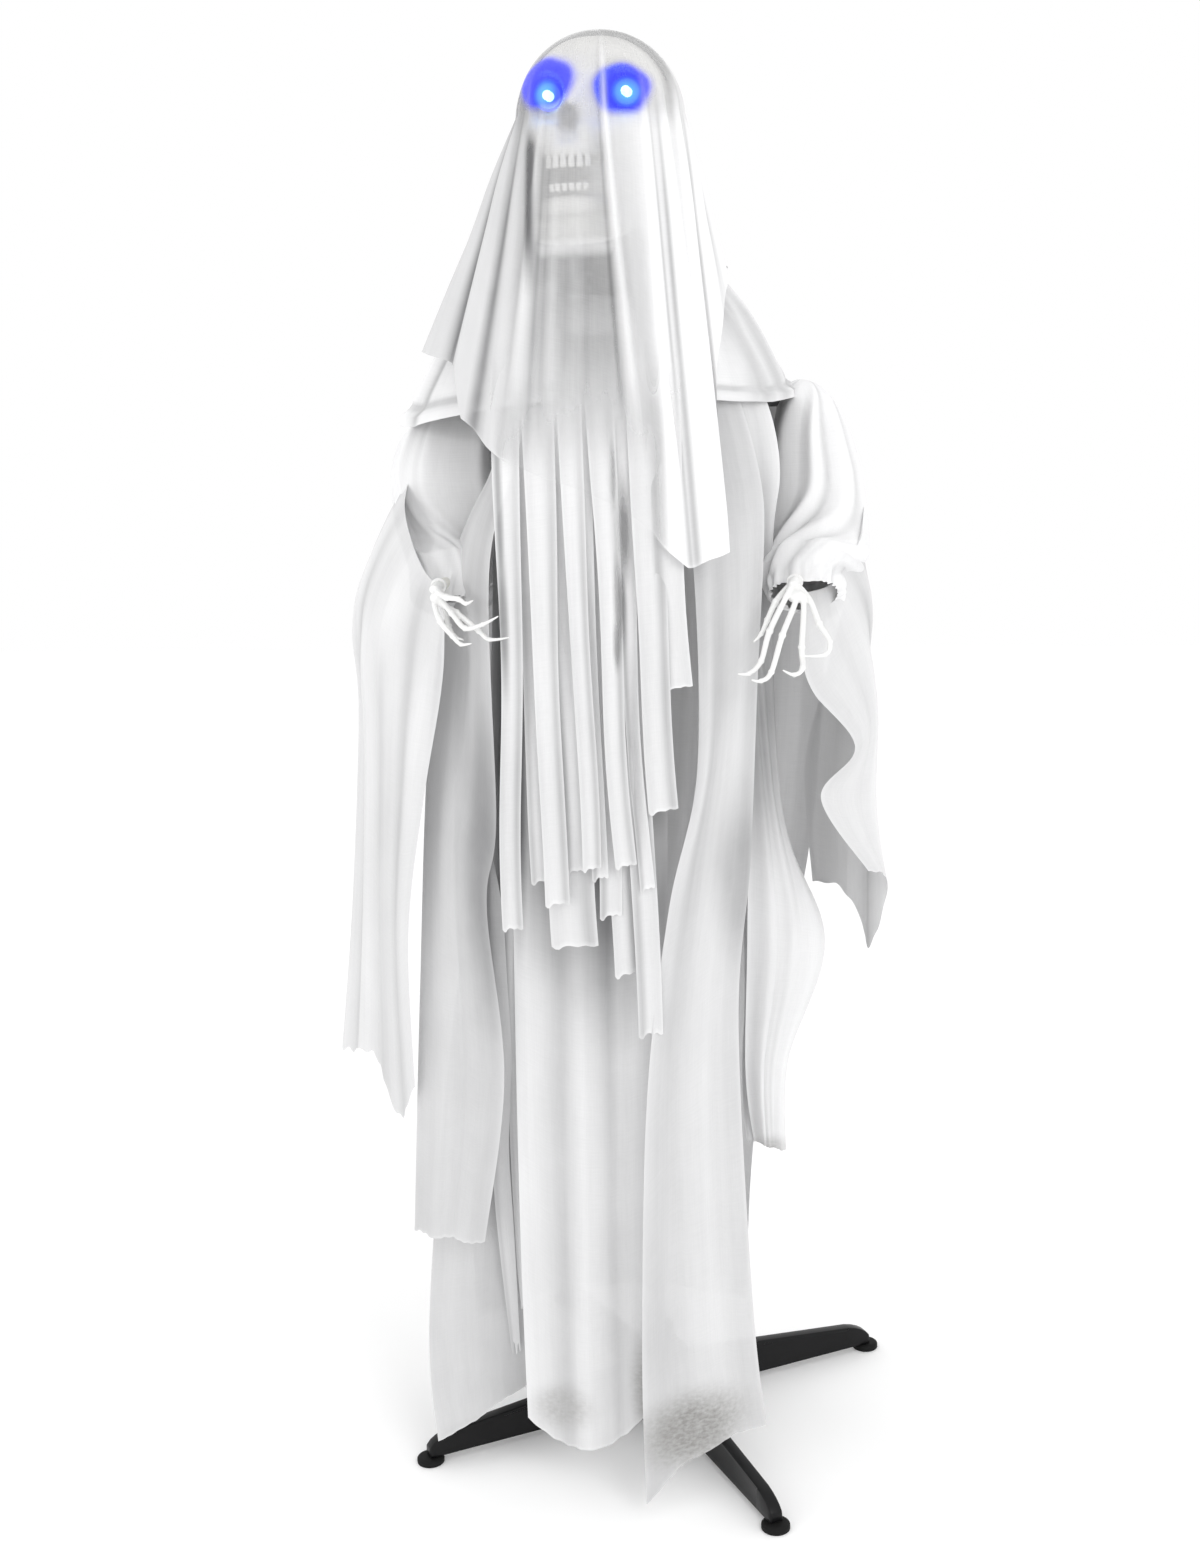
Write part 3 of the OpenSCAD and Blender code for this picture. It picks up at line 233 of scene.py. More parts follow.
def joinAll(name, objs):
    pickOnly(*objs)
    if len(objs) > 1:
        bpy.ops.object.join()
    out = bpy.context.object
    out.name = out.data.name = name
    return out


# Shader maths as plain expressions


def feed(tree, socket, value):  # links a wire, or sets a plain value
    if isinstance(value, Wire):
        tree.links.new(value.socket, socket)
    else:
        socket.default_value = value


class Wire:
    def __init__(self, tree, socket):
        self.tree, self.socket = tree, socket

    def sum(self, kind, other, swap=False, clamp=False):
        node = self.tree.nodes.new("ShaderNodeMath")
        node.operation = kind
        node.use_clamp = clamp
        pair = (other, self) if swap else (self, other)
        for value, socket in zip(pair, node.inputs):
            feed(self.tree, socket, value)
        return Wire(self.tree, node.outputs[0])

    def __add__(self, other):
        return self.sum("ADD", other)

    def __sub__(self, other):
        return self.sum("SUBTRACT", other)

    def __rsub__(self, other):
        return self.sum("SUBTRACT", other, swap=True)

    def __mul__(self, other):
        return self.sum("MULTIPLY", other)

    def clip(self):
        return self.sum("ADD", 0.0, clamp=True)

    __radd__ = __add__
    __rmul__ = __mul__


class Finish:
    def __init__(self, name, **constants):
        self.material = bpy.data.materials.new(name)
        self.material.use_nodes = True
        self.tree = self.material.node_tree
        self.shader = next(n for n in self.tree.nodes if n.type == "BSDF_PRINCIPLED")
        self.set(**constants)

    def set(self, **values):
        for key, value in values.items():
            feed(self.tree, self.shader.inputs[key.replace("_", " ")], value)

    def node(self, kind, out=0, settings=None, **sockets):
        node = self.tree.nodes.new("ShaderNode" + kind)
        for key, value in (settings or {}).items():
            setattr(node, key, value)
        for key, value in sockets.items():
            numbered = key[0] == "i" and key[1:].isdigit()
            feed(self.tree, node.inputs[int(key[1:]) if numbered else key.replace("_", " ")], value)
        return Wire(self.tree, node.outputs[out])

    def objectPlace(self):
        return self.node("TexCoord", out=3)

    def uvPlace(self):
        return self.node("TexCoord", out=2)

    def attribute(self, name):
        return self.node("Attribute", out=2, settings={"attribute_name": name})

    def noise(self, place, scale, detail=3.0, stretch=None):
        if stretch:
            place = self.node("Mapping", Vector=place, Scale=stretch)
        return self.node("TexNoise", Vector=place, Scale=scale, Detail=detail)

    def blend(self, mask, low, high):
        return self.node("Mix", out=2, settings={"data_type": "RGBA"}, i0=mask, i6=low, i7=high)

    def bump(self, height, strength, distance):
        return self.node("Bump", Height=height, Strength=strength, Distance=distance)


def colour(r, g, b):
    return (r, g, b, 1)


# Camera, light and floor

viewSet = {
    "place": (0.3827, -2.2414, 1.3143),
    "turn": -10.98,
    "tilt": 11.86,
    "lean": -1.81,
    "lens": 43.93,
}


def setCamera(s):
    yaw, pitch, lean = (math.radians(s[k]) for k in ("turn", "tilt", "lean"))
    ahead = Vector((math.sin(yaw) * math.cos(pitch), math.cos(yaw) * math.cos(pitch), -math.sin(pitch)))
    side = Vector((math.cos(yaw), -math.sin(yaw), 0))
    top = side.cross(ahead)
    right = side * math.cos(lean) + top * math.sin(lean)
    up = top * math.cos(lean) - side * math.sin(lean)
    clearSelection()
    bpy.ops.object.camera_add()
    cam = bpy.context.object
    cam.name = "photoView"
    cam.data.lens = s["lens"]
    cam.data.sensor_width = 36
    turn = Matrix((right, up, -ahead)).transposed().to_4x4()
    cam.matrix_world = Matrix.Translation(s["place"]) @ turn
    bpy.context.scene.camera = cam


lightSet = {
    "sky": 1.0,
    "aim": (0, -0.1, 0.95),
    "lamps": {
        "key": {"place": (2.1, -2.9, 2.7), "size": 1.6, "power": 34},
        "rim": {"place": (-2.4, 1.8, 2.6), "size": 1.6, "power": 5},
        "fill": {"place": (-2.6, -2.4, 1.5), "size": 2.0, "power": 8},
    },
    "spot": {"place": (-1.9, -1.5, 1.75), "aim": (-0.215, -0.12, 1.19), "cone": 10, "soft": 0.3,
             "power": 110},
    "floor": {"size": 14, "low": (0.985, 0.985, 0.985), "high": (0.99, 0.99, 0.99), "glow": 0.04},
}


def addLamp(name, kind, place, aim, power):
    clearSelection()
    bpy.ops.object.light_add(type=kind, location=place)
    lamp = bpy.context.object
    lamp.name = name
    lamp.data.energy = power
    lamp.rotation_euler = (Vector(aim) - Vector(place)).to_track_quat("-Z", "Y").to_euler()
    return lamp


def setLights(s):
    world = bpy.data.worlds.new("studio")
    bpy.context.scene.world = world
    world.use_nodes = True
    back = next(n for n in world.node_tree.nodes if n.type == "BACKGROUND")
    back.inputs[0].default_value = (1, 1, 1, 1)
    back.inputs[1].default_value = s["sky"]
    for name, lamp in s["lamps"].items():
        addLamp(name, "AREA", lamp["place"], s["aim"], lamp["power"]).data.size = lamp["size"]
    spot = s["spot"]
    # lifts the sleeve in the shade
    lamp = addLamp("sleeveSpot", "SPOT", spot["place"], spot["aim"], spot["power"])
    lamp.data.spot_size = math.radians(spot["cone"])
    lamp.data.spot_blend = 1
    lamp.data.shadow_soft_size = spot["soft"]


def layFloor(s):
    clearSelection()
    bpy.ops.mesh.primitive_plane_add(size=s["size"])
    floor = bpy.context.object
    floor.name = "floor"
    f = Finish("paleFloor", Roughness=0.9, Emission_Color=colour(1, 1, 1), Emission_Strength=s["glow"])
    f.set(Base_Color=f.blend(f.noise(f.objectPlace(), 0.8), colour(*s["low"]), colour(*s["high"])))
    floor.data.materials.append(f.material)


setCamera(viewSet)
setLights(lightSet)
layFloor(lightSet["floor"])
bpy.context.scene.view_settings.view_transform = "Standard"
print("stage: camera, light and floor")

# Finishes

gauzeSet = {
    "pale": (0.85, 0.85, 0.855),
    "dark": (0.085, 0.085, 0.09),
    "grime": (0.3, 0.295, 0.285),
    "eyeGlowCloth": (0.01, 0.012, 0.3),
    "eyeRay": (0.035, 0.045, 0.95),
    "eyeCore": (0.12, 0.55, 1.0),
    "threads": 700.0, "streaks": 70.0, "crumples": 26.0, "clouds": 7.0, "crinkles": 150.0,
    "threadGap": 0.08, "veilGap": 0.24, "streakTint": 0.14, "crumpleTint": 0.1,
    "threadRise": 0.3, "crumpleRise": 3.0, "crinkleRise": 0.06, "stainRise": 1.8, "bump": (0.3, 0.001),
}


def gauzeFinish(name, s=gauzeSet, glow=False):
    f = Finish(name, Roughness=0.9, Sheen_Weight=0.15, Sheen_Roughness=0.6, Specular_IOR_Level=0.12)
    uv = f.uvPlace()
    warp = f.noise(uv, s["threads"], 2.0, (1.0, 0.05, 1.0))  # fine threads each way
    weft = f.noise(uv, s["threads"], 2.0, (0.05, 1.0, 1.0))
    cloud = f.noise(f.objectPlace(), s["clouds"], 4.0)
    crinkle = f.noise(f.objectPlace(), s["crinkles"], 6.0, (1.0, 1.0, 1.8))
    stain = f.attribute("stain")
    grime = (stain * (0.25 + crinkle * 1.3)).clip()
    streak = f.noise(uv, s["streaks"], 4.0, (1.0, 0.035, 1.0))  # long soft streaks down the cloth
    crumple = f.noise(f.objectPlace(), s["crumples"], 3.0, (1.0, 1.0, 0.35))
    shade = f.attribute("shade") * (0.7 + cloud * 0.6)
    shade = (shade + (streak - 0.5) * s["streakTint"] + (crumple - 0.5) * s["crumpleTint"]).clip()
    # the painted shade darkens the pale cloth towards the dark colour
    cloth = f.blend(shade, colour(*s["pale"]), colour(*s["dark"]))
    cloth = f.blend(grime, cloth, colour(*s["grime"]))
    alpha = f.attribute("cover") + (warp + weft - 1.0) * s["threadGap"]
    if glow:
        # painted glow of the eye lamps: the cloth turns blue and gives off blue light, with a bright painted
        # core
        lit = f.attribute("glow")
        core = f.attribute("core")
        cloth = f.blend(lit, cloth, colour(*s["eyeGlowCloth"]))
        ray = f.blend(lit, colour(0, 0, 0), colour(*s["eyeRay"]))
        alpha = alpha + (streak - 0.5) * s["veilGap"]  # the sheer veil shows its threads
        f.set(Emission_Color=f.blend(core, ray, colour(*s["eyeCore"])), Emission_Strength=1.0)
    f.set(Base_Color=cloth, Alpha=alpha.clip())
    height = (warp + weft) * s["threadRise"] + crinkle * (stain * s["stainRise"] + s["crinkleRise"])
    f.set(Normal=f.bump(height + crumple * s["crumpleRise"], *s["bump"]))
    return f.material


def mouldedFinish(name, shade, rough, gloss=0.0, grain=320.0, stretch=None, shine=0.5):
    f = Finish(name, Coat_Roughness=0.12, Specular_IOR_Level=shine)
    place = f.objectPlace()
    cloud = f.noise(place, 14.0, 4.0, stretch)
    fine = f.noise(place, grain, 2.0)
    f.set(Base_Color=f.blend(cloud, colour(*shade), colour(*[min(1, c * 1.25 + 0.004) for c in shade])))
    f.set(Roughness=(cloud * 0.16 + rough - 0.08).clip(), Normal=f.bump(fine, 0.12, 0.0004))
    if gloss:
        f.set(Coat_Weight=gloss)
    return f.material


def metalFinish(name, shade, rough, brushed=(1, 1, 12)):
    f = Finish(name, Metallic=1.0)
    place = f.objectPlace()
    scratch = f.noise(place, 160.0, 3.0, brushed)
    cloud = f.noise(place, 12.0, 3.0)
    f.set(Base_Color=f.blend(cloud, colour(*shade), colour(*[c * 0.86 for c in shade])))
    f.set(Roughness=(scratch * 0.2 + rough - 0.1).clip(), Normal=f.bump(scratch, 0.08, 0.0003))
    return f.material


def boneFinish(name, low, high):
    f = Finish(name, Specular_IOR_Level=0.3)
    place = f.objectPlace()
    cloud = f.noise(place, 38.0, 5.0)
    pit = f.noise(place, 210.0, 3.0)
    hollowShade = f.attribute("hollowShade")
    base = f.blend(cloud, colour(*low), colour(*high))
    # painted shade in the sockets, nose, mouth and under the jaw
    f.set(Base_Color=f.blend(hollowShade, base, colour(0.16, 0.155, 0.15)))
    f.set(Roughness=(cloud * 0.2 + 0.5).clip(), Normal=f.bump(pit * 0.5 + cloud, 0.3, 0.0015))
    return f.material


def litFinish(name, core, edge, power):
    f = Finish(name, Base_Color=colour(0.02, 0.03, 0.12), Roughness=0.3, Emission_Strength=power)
    place = f.objectPlace()
    f.set(Emission_Color=f.blend(f.noise(place, 60.0, 2.0), colour(*core), colour(*edge)))
    return f.material


finishes = {
    "blackGloss": mouldedFinish("blackGloss", (0.003, 0.003, 0.0035), 0.34, gloss=0.08, shine=0.18),
    "blackRubber": mouldedFinish("blackRubber", (0.006, 0.006, 0.006), 0.62, grain=520.0, shine=0.15),
    "coatedSteel": mouldedFinish("coatedSteel", (0.03, 0.03, 0.032), 0.48, grain=620.0),
    "darkPlastic": mouldedFinish("darkPlastic", (0.09, 0.09, 0.092), 0.55),
    "naturalPlastic": mouldedFinish("naturalPlastic", (0.72, 0.71, 0.66), 0.45),
    "neckGrey": mouldedFinish("neckGrey", (0.17, 0.165, 0.16), 0.6, stretch=(5, 5, 0.4)),
    "boardGreen": mouldedFinish("boardGreen", (0.03, 0.17, 0.06), 0.4),
    "redCap": mouldedFinish("redCap", (0.42, 0.03, 0.035), 0.3, gloss=0.3),
    "bareSteel": metalFinish("bareSteel", (0.6, 0.61, 0.63), 0.32),
    "skullBone": boneFinish("skullBone", (0.68, 0.675, 0.66), (0.8, 0.795, 0.78)),
    "handBone": boneFinish("handBone", (0.78, 0.78, 0.77), (0.88, 0.88, 0.875)),
    "eyeGlow": litFinish("eyeGlow", (0.02, 0.05, 1.0), (0.06, 0.12, 1.0), 1.6),
    "lampGlow": litFinish("lampGlow", (0.45, 0.85, 1.0), (0.6, 0.92, 1.0), 6.0),
}
finishNodes = {
    "blackGloss": ["base_hub", "clamp_screw"],
    "coatedSteel": ["lower_pole", "upper_pole", "shoulder_bar"],
    "bareSteel": ["leg_pins", "snap_button", "button_spring", "torso_screws", "drive_motor", "neck_shaft",
                  "batteries", "shoulder_pins", "shoulder_hoop"],
    "darkPlastic": ["torso_front_shell", "torso_rear_shell", "drive_plate", "speaker", "sensor_lens",
                    "battery_bay", "battery_door", "power_switch", "shoulder_brackets"],
    "naturalPlastic": ["motor_pinion", "neck_gear", "neck_bush", "arm_tube_left", "arm_tube_right"],
    "neckGrey": ["neck_column"],
    "boardGreen": ["control_board"],
    "redCap": ["test_button"],
    "handBone": ["wrist_plug_left", "wrist_plug_right"],
    "eyeGlow": ["eye_cups"],
    "lampGlow": ["eye_lamps"],
}
for finishName, nodeNames in finishNodes.items():
    for nodeName in nodeNames:
        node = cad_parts[nodeName]
        node.data.materials.clear()
        node.data.materials.append(finishes[finishName])
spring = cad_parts["button_spring"]
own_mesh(spring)
print("stage: finishes on the carried parts")

# Legs and feet of the stand

legSet = {  # nose gives how far the top drops at each distance from the hub
    "bearing": 34.5, "rootR": 40.3, "tipR": 318, "low": 8, "rootTop": 64, "tipTop": 34, "width": 18,
    "crown": 0.86, "round": 2.2, "rings": [85, 150, 220],
    "nose": {285: 0, 296: 1.6, 305: 4.4, 312: 8, 318: 14},
    "pocket": {"x": (85, 285), "z": (18, 50), "rim": 3.5, "deep": 1.2},
}
footSet = {"at": 315, "radius": 17, "tall": 6, "rim": 3.5, "rise": 2.1, "round": 1.1}
legNames = {"back_left": 0, "back_right": 1, "front_right": 2, "front_left": 3}


def pickPoints(obj, test):  # selects the points whose place in millimetres passes the test
    pickOnly(obj)
    bpy.ops.object.mode_set(mode="EDIT")
    bpy.ops.mesh.select_mode(type="VERT")
    bpy.ops.mesh.select_all(action="DESELECT")
    bpy.ops.object.mode_set(mode="OBJECT")
    for v in obj.data.vertices:
        v.select = test(v.co * 1000)
    bpy.ops.object.mode_set(mode="EDIT")


def bevelEdges(obj, width, segments=3):
    bpy.ops.object.mode_set(mode="OBJECT")
    edges = obj.modifiers.new("edges", "BEVEL")
    edges.width, edges.segments, edges.limit_method = width / 1000, segments, "ANGLE"
    pickOnly(obj)
    bpy.ops.object.modifier_apply(modifier="edges")


def legShape(s):
    clearSelection()
    reach, tall = s["tipR"] - s["rootR"], s["rootTop"] - s["low"]
    middle = ((s["rootR"] + reach / 2) / 1000, 0, (s["low"] + tall / 2) / 1000)
    bpy.ops.mesh.primitive_cube_add(size=0.001, location=middle)
    leg = bpy.context.object
    leg.scale = (reach, s["width"], tall)
    bpy.ops.object.transform_apply(location=True, rotation=True, scale=True)
    pickPoints(leg, lambda p: p.z > s["low"] + 1)
    bpy.ops.transform.resize(value=(1, s["crown"], 1), center_override=(0, 0, 0))
    pickPoints(leg, lambda p: p.z > s["low"] + 1 and p.x > s["tipR"] - 1)
    bpy.ops.transform.translate(value=(0, 0, (s["tipTop"] - s["rootTop"]) / 1000))
    for r in s["rings"] + [r for r in s["nose"] if r < s["tipR"]]:
        bpy.ops.mesh.select_all(action="SELECT")
        bpy.ops.mesh.bisect(plane_co=(r / 1000, 0, 0), plane_no=(1, 0, 0))
    for r, drop in s["nose"].items():  # the nose drops in a short curve
        pickPoints(leg, lambda p: p.z > s["low"] + 1 and abs(p.x - r) < 0.5)
        bpy.ops.transform.translate(value=(0, 0, -drop / 1000))
    bevelEdges(leg, s["round"])
    pocket = s["pocket"]
    x0, x1, z0, z1 = (c / 1000 for c in pocket["x"] + pocket["z"])
    for p in leg.data.polygons:  # shallow pocket along both flanks
        p.select = abs(p.normal.y) > 0.9 and x0 < p.center.x < x1 and z0 < p.center.z < z1
    bpy.ops.object.mode_set(mode="EDIT")
    bpy.ops.mesh.select_mode(type="FACE")
    bpy.ops.mesh.inset(thickness=pocket["rim"] / 1000, depth=-pocket["deep"] / 1000, use_boundary=True)
    bpy.ops.object.mode_set(mode="OBJECT")
    bpy.ops.object.shade_smooth_by_angle(angle=0.6)
    return leg


def footShape(s):
    clearSelection()
    middle = (s["at"] / 1000, 0, s["tall"] / 2000)
    bpy.ops.mesh.primitive_cylinder_add(vertices=48, radius=s["radius"] / 1000, depth=s["tall"] / 1000,
                                        location=middle)
    foot = bpy.context.object
    bpy.ops.object.transform_apply(location=True, rotation=True, scale=True)
    for p in foot.data.polygons:
        p.select = p.normal.z > 0.9
    bpy.ops.object.mode_set(mode="EDIT")
    bpy.ops.mesh.select_mode(type="FACE")
    bpy.ops.mesh.inset(thickness=s["rim"] / 1000, depth=0)
    bpy.ops.transform.translate(value=(0, 0, s["rise"] / 1000))
    bevelEdges(foot, s["round"])
    bpy.ops.object.shade_smooth_by_angle(angle=0.6)
    return foot


def copyAt(model, name, move):  # a copy with its own mesh
    piece = model.copy()
    piece.data = model.data.copy()
    piece.name = piece.data.name = name
    bpy.context.scene.collection.objects.link(piece)
    piece.data.transform(move)
    return piece


legModel = legShape(legSet)
footModel = footShape(footSet)
standKinds = [
    (legModel, "leg", "blackGloss", "black_gloss"),
    (footModel, "foot", "blackRubber", "black_rubber"),
]
for spot, k in legNames.items():
    turn = Matrix.Rotation(math.radians(legSet["bearing"] + 90 * k), 4, "Z")
    for model, kind, finish, slot in standKinds:
        piece = copyAt(model, kind + "Piece_" + spot, turn)
        piece.data.materials.append(finishes[finish])
        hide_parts(kind + "_" + spot)
        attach(piece, "folding_leg_" + spot)
for model in (legModel, footModel):
    bpy.data.objects.remove(model)
print("stage: legs and feet")

# Skull and hands are built up from balls and strands that are melted together


def ball(place, radius, size=(1, 1, 1)):
    clearSelection()
    middle = [c / 1000 for c in place]
    bpy.ops.mesh.primitive_uv_sphere_add(segments=32, ring_count=20, radius=radius / 1000, location=middle)
    piece = bpy.context.object
    piece.scale = size
    bpy.ops.object.transform_apply(location=True, rotation=True, scale=True)
    return piece


def strand(points, radii, steps=10):
    s = np.linspace(0, 1, steps * (len(points) - 1) + 1)
    run = splineAt(points, s)
    thick = splineAt(np.array(radii, float)[:, None], s)[:, 0]
    clearSelection()
    bpy.ops.curve.primitive_nurbs_path_add()
    piece = bpy.context.object
    line = piece.data
    line.splines.clear()
    line.bevel_depth = 0.001
    line.bevel_resolution = 4
    line.use_fill_caps = True
    poly = line.splines.new("POLY")
    poly.points.add(len(run) - 1)
    for p, place, r in zip(poly.points, run, thick):
        p.co = (*(place / 1000), 1)
        p.radius = r
    bpy.ops.object.convert(target="MESH")
    return bpy.context.object


def melt(name, parts, voxel, rounds):
    piece = joinAll(name, parts)
    piece.data.remesh_voxel_size = voxel / 1000
    bpy.ops.object.voxel_remesh()
    soft = piece.modifiers.new("soft", "SMOOTH")
    soft.factor, soft.iterations = 0.5, rounds
    bpy.ops.object.modifier_apply(modifier="soft")
    bpy.ops.object.shade_smooth()
    return piece


def cutWith(piece, tool):
    cut = piece.modifiers.new("cut", "BOOLEAN")
    cut.operation = "DIFFERENCE"
    cut.object = tool
    pickOnly(piece)
    bpy.ops.object.modifier_apply(modifier="cut")
    bpy.data.objects.remove(tool)


skullSet = {  # places are from the skull's middle
    "middle": (0, -147, 1588), "voxels": (2.6, 2.2), "rounds": (12, 6),
    "aside": 19, "lowFace": (32, 36), "foreFace": (-10, 60), "cheeks": (66, 40), "jaw": (-30, 50),
    "parts": [
        {"place": (0, 4, 4), "radius": 78, "size": (0.985, 1.1, 1.0)},  # braincase
        {"place": (0, -40, 16), "radius": 58, "size": (1.1, 0.88, 1.02)},  # forehead
        {"run": [(-56, -52, 28), (-38, -70, 36), (0, -82, 30), (38, -70, 36), (56, -52, 28)],
         "radii": [9, 12, 11, 12, 9]},  # brow
        {"run": [(0, -82, 28), (0, -92, 12), (0, -93, 2)], "radii": [8, 7, 6]},  # bridge of the nose
        {"run": [(66, -20, -14), (61, -48, -16), (48, -70, -20), (30, -78, -28)],
         "radii": [7, 9.5, 12, 12], "sides": (-1, 1)},  # cheekbones
        {"run": [(56, -52, 28), (59, -58, 8), (52, -66, -14)],
         "radii": [8, 6, 9], "sides": (-1, 1)},  # orbits
        {"run": [(17, -84, -14), (20, -82, -30), (17, -82, -44)],
         "radii": [10, 13, 9], "sides": (-1, 1)},  # beside the nose
        {"run": [(58, -20, -28), (56, -24, -66), (51, -34, -98), (36, -62, -118), (0, -80, -124)],
         "radii": [9, 10, 13, 14, 13], "sides": (-1, 1)},  # jaw
        {"run": [(-32, -70, -40), (-18, -84, -42), (0, -89, -42), (18, -84, -42), (32, -70, -40)],
         "radii": [8, 9, 9.5, 9, 8]},  # upper gum
        {"run": [(-34, -62, -97), (-20, -79, -97), (0, -85, -97), (20, -79, -97), (34, -62, -97)],
         "radii": [9, 11, 12, 11, 9]},  # lower gum
        {"place": (0, -60, -112), "radius": 24, "size": (1.6, 1.0, 0.9)},  # chin
        {"place": (0, -62, -34), "radius": 24, "size": (1.4, 0.95, 0.75)},  # upper jaw
        {"place": (0, -30, -72), "radius": 46, "size": (1.06, 0.96, 1.0)},  # behind the teeth
    ],
    "holes": [
        {"place": (-41, -90, 16), "radius": 24, "size": (1.05, 1.3, 1.0)},  # sockets and temples
        {"place": (-84, -34, -4), "radius": 18, "size": (0.7, 1.5, 1.6)},
        {"place": (41, -90, 16), "radius": 24, "size": (1.05, 1.3, 1.0)},
        {"place": (84, -34, -4), "radius": 18, "size": (0.7, 1.5, 1.6)},
        {"place": (0, -98, -4), "radius": 7, "size": (0.85, 2.0, 1.2)},  # nose
        {"place": (-6, -98, -14), "radius": 7, "size": (0.85, 2.0, 1.2)},
        {"place": (6, -98, -14), "radius": 7, "size": (0.85, 2.0, 1.2)},
        {"place": (0, -82, -67), "radius": 12, "size": (1.9, 1.3, 0.42)},  # mouth
    ],
    "shadedHollows": [  # place, half sizes and strength of each patch of painted shade
        ((-41, -76, 16), (26, 26, 23), 0.9), ((41, -76, 16), (26, 26, 23), 0.9),
        ((0, -86, -9), (12, 16, 14), 0.85), ((0, -70, -68), (24, 16, 8), 0.35),
        ((0, -86, -54), (25, 16, 7), 0.4), ((-30, -60, -58), (12, 22, 24), 0.45),
        ((0, 10, -100), (60, 30, 40), 0.6),
    ],
}


def skullAt(x, y, z, s=skullSet):  # the lower face looks a little to its right
    inward = mix(below(abs(x), *s["cheeks"]), 1, below(z, *s["jaw"]))  # the cheekbones stay where they are
    turned = s["aside"] * below(z, *s["lowFace"]) * below(y, *s["foreFace"]) * inward
    return np.array(s["middle"], float) + (x - turned, y, z)


def makeSkull(s):
    parts = []
    for item in s["parts"]:
        if "place" in item:
            parts.append(ball(skullAt(*item["place"]), item["radius"], item["size"]))
            continue
        for side in item.get("sides", (1,)):
            parts.append(strand([skullAt(side * x, y, z) for x, y, z in item["run"]], item["radii"]))
    skull = melt("skullPiece", parts, s["voxels"][0], s["rounds"][0])
    for hole in s["holes"]:
        cutWith(skull, ball(skullAt(*hole["place"]), hole["radius"], hole["size"]))
    skull = melt("skullPiece", [skull], s["voxels"][1], s["rounds"][1])
    co = places(skull)
    dark = np.zeros(len(co))
    for place, size, power in s["shadedHollows"]:
        d = (co - skullAt(*place)) / np.array(size)
        dark = np.maximum(dark, power * ease(1.5 - np.linalg.norm(d, axis=1)))
    paint(skull, "hollowShade", np.clip(dark, 0, 1))
    skull.data.materials.append(finishes["skullBone"])
    return skull


teethSet = {  # step is the turn from one tooth to the next, wide and tall are halves, gum is the gum's side
    "middle": -55, "arch": 40, "deep": 3, "neck": (0.74, 0.8, 1), "round": 1.5,
    "rows": [{"z": -52, "count": 6, "step": 12.0, "wide": 3.5, "tall": 7.5, "gum": 1},
             {"z": -79, "count": 6, "step": 10.5, "wide": 3.2, "tall": 4.0, "gum": -1}],
}


def toothShape(s, r):
    clearSelection()
    bpy.ops.mesh.primitive_cube_add(size=0.002)
    tooth = bpy.context.object
    tooth.scale = (r["wide"], s["deep"], r["tall"])
    bpy.ops.object.transform_apply(location=True, rotation=True, scale=True)
    pickPoints(tooth, lambda p: p.z * r["gum"] > 0)  # narrow at the gum
    bpy.ops.transform.resize(value=s["neck"], center_override=(0, 0, 0))
    bevelEdges(tooth, s["round"], 4)
    return tooth


def makeTeeth(s):
    teeth = []
    for r in s["rows"]:
        model = toothShape(s, r)
        for k in range(r["count"]):
            turn = math.radians((k - (r["count"] - 1) / 2) * r["step"])
            spot = skullAt(s["arch"] * math.sin(turn), s["middle"] - s["arch"] * math.cos(turn), r["z"])
            move = Matrix.Translation(spot / 1000) @ Matrix.Rotation(turn, 4, "Z")
            teeth.append(copyAt(model, "tooth", move))
        bpy.data.objects.remove(model)
    out = joinAll("teethPiece", teeth)
    bpy.ops.object.shade_smooth_by_angle(angle=0.9)
    paint(out, "hollowShade", np.zeros(len(out.data.vertices)))
    out.data.materials.append(finishes["skullBone"])
    return out


skull = makeSkull(skullSet)
teeth = makeTeeth(teethSet)
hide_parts("skull_face", "skull_back")
for piece in (skull, teeth):
    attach(piece, "head")
print("stage: skull and teeth", len(skull.data.polygons))

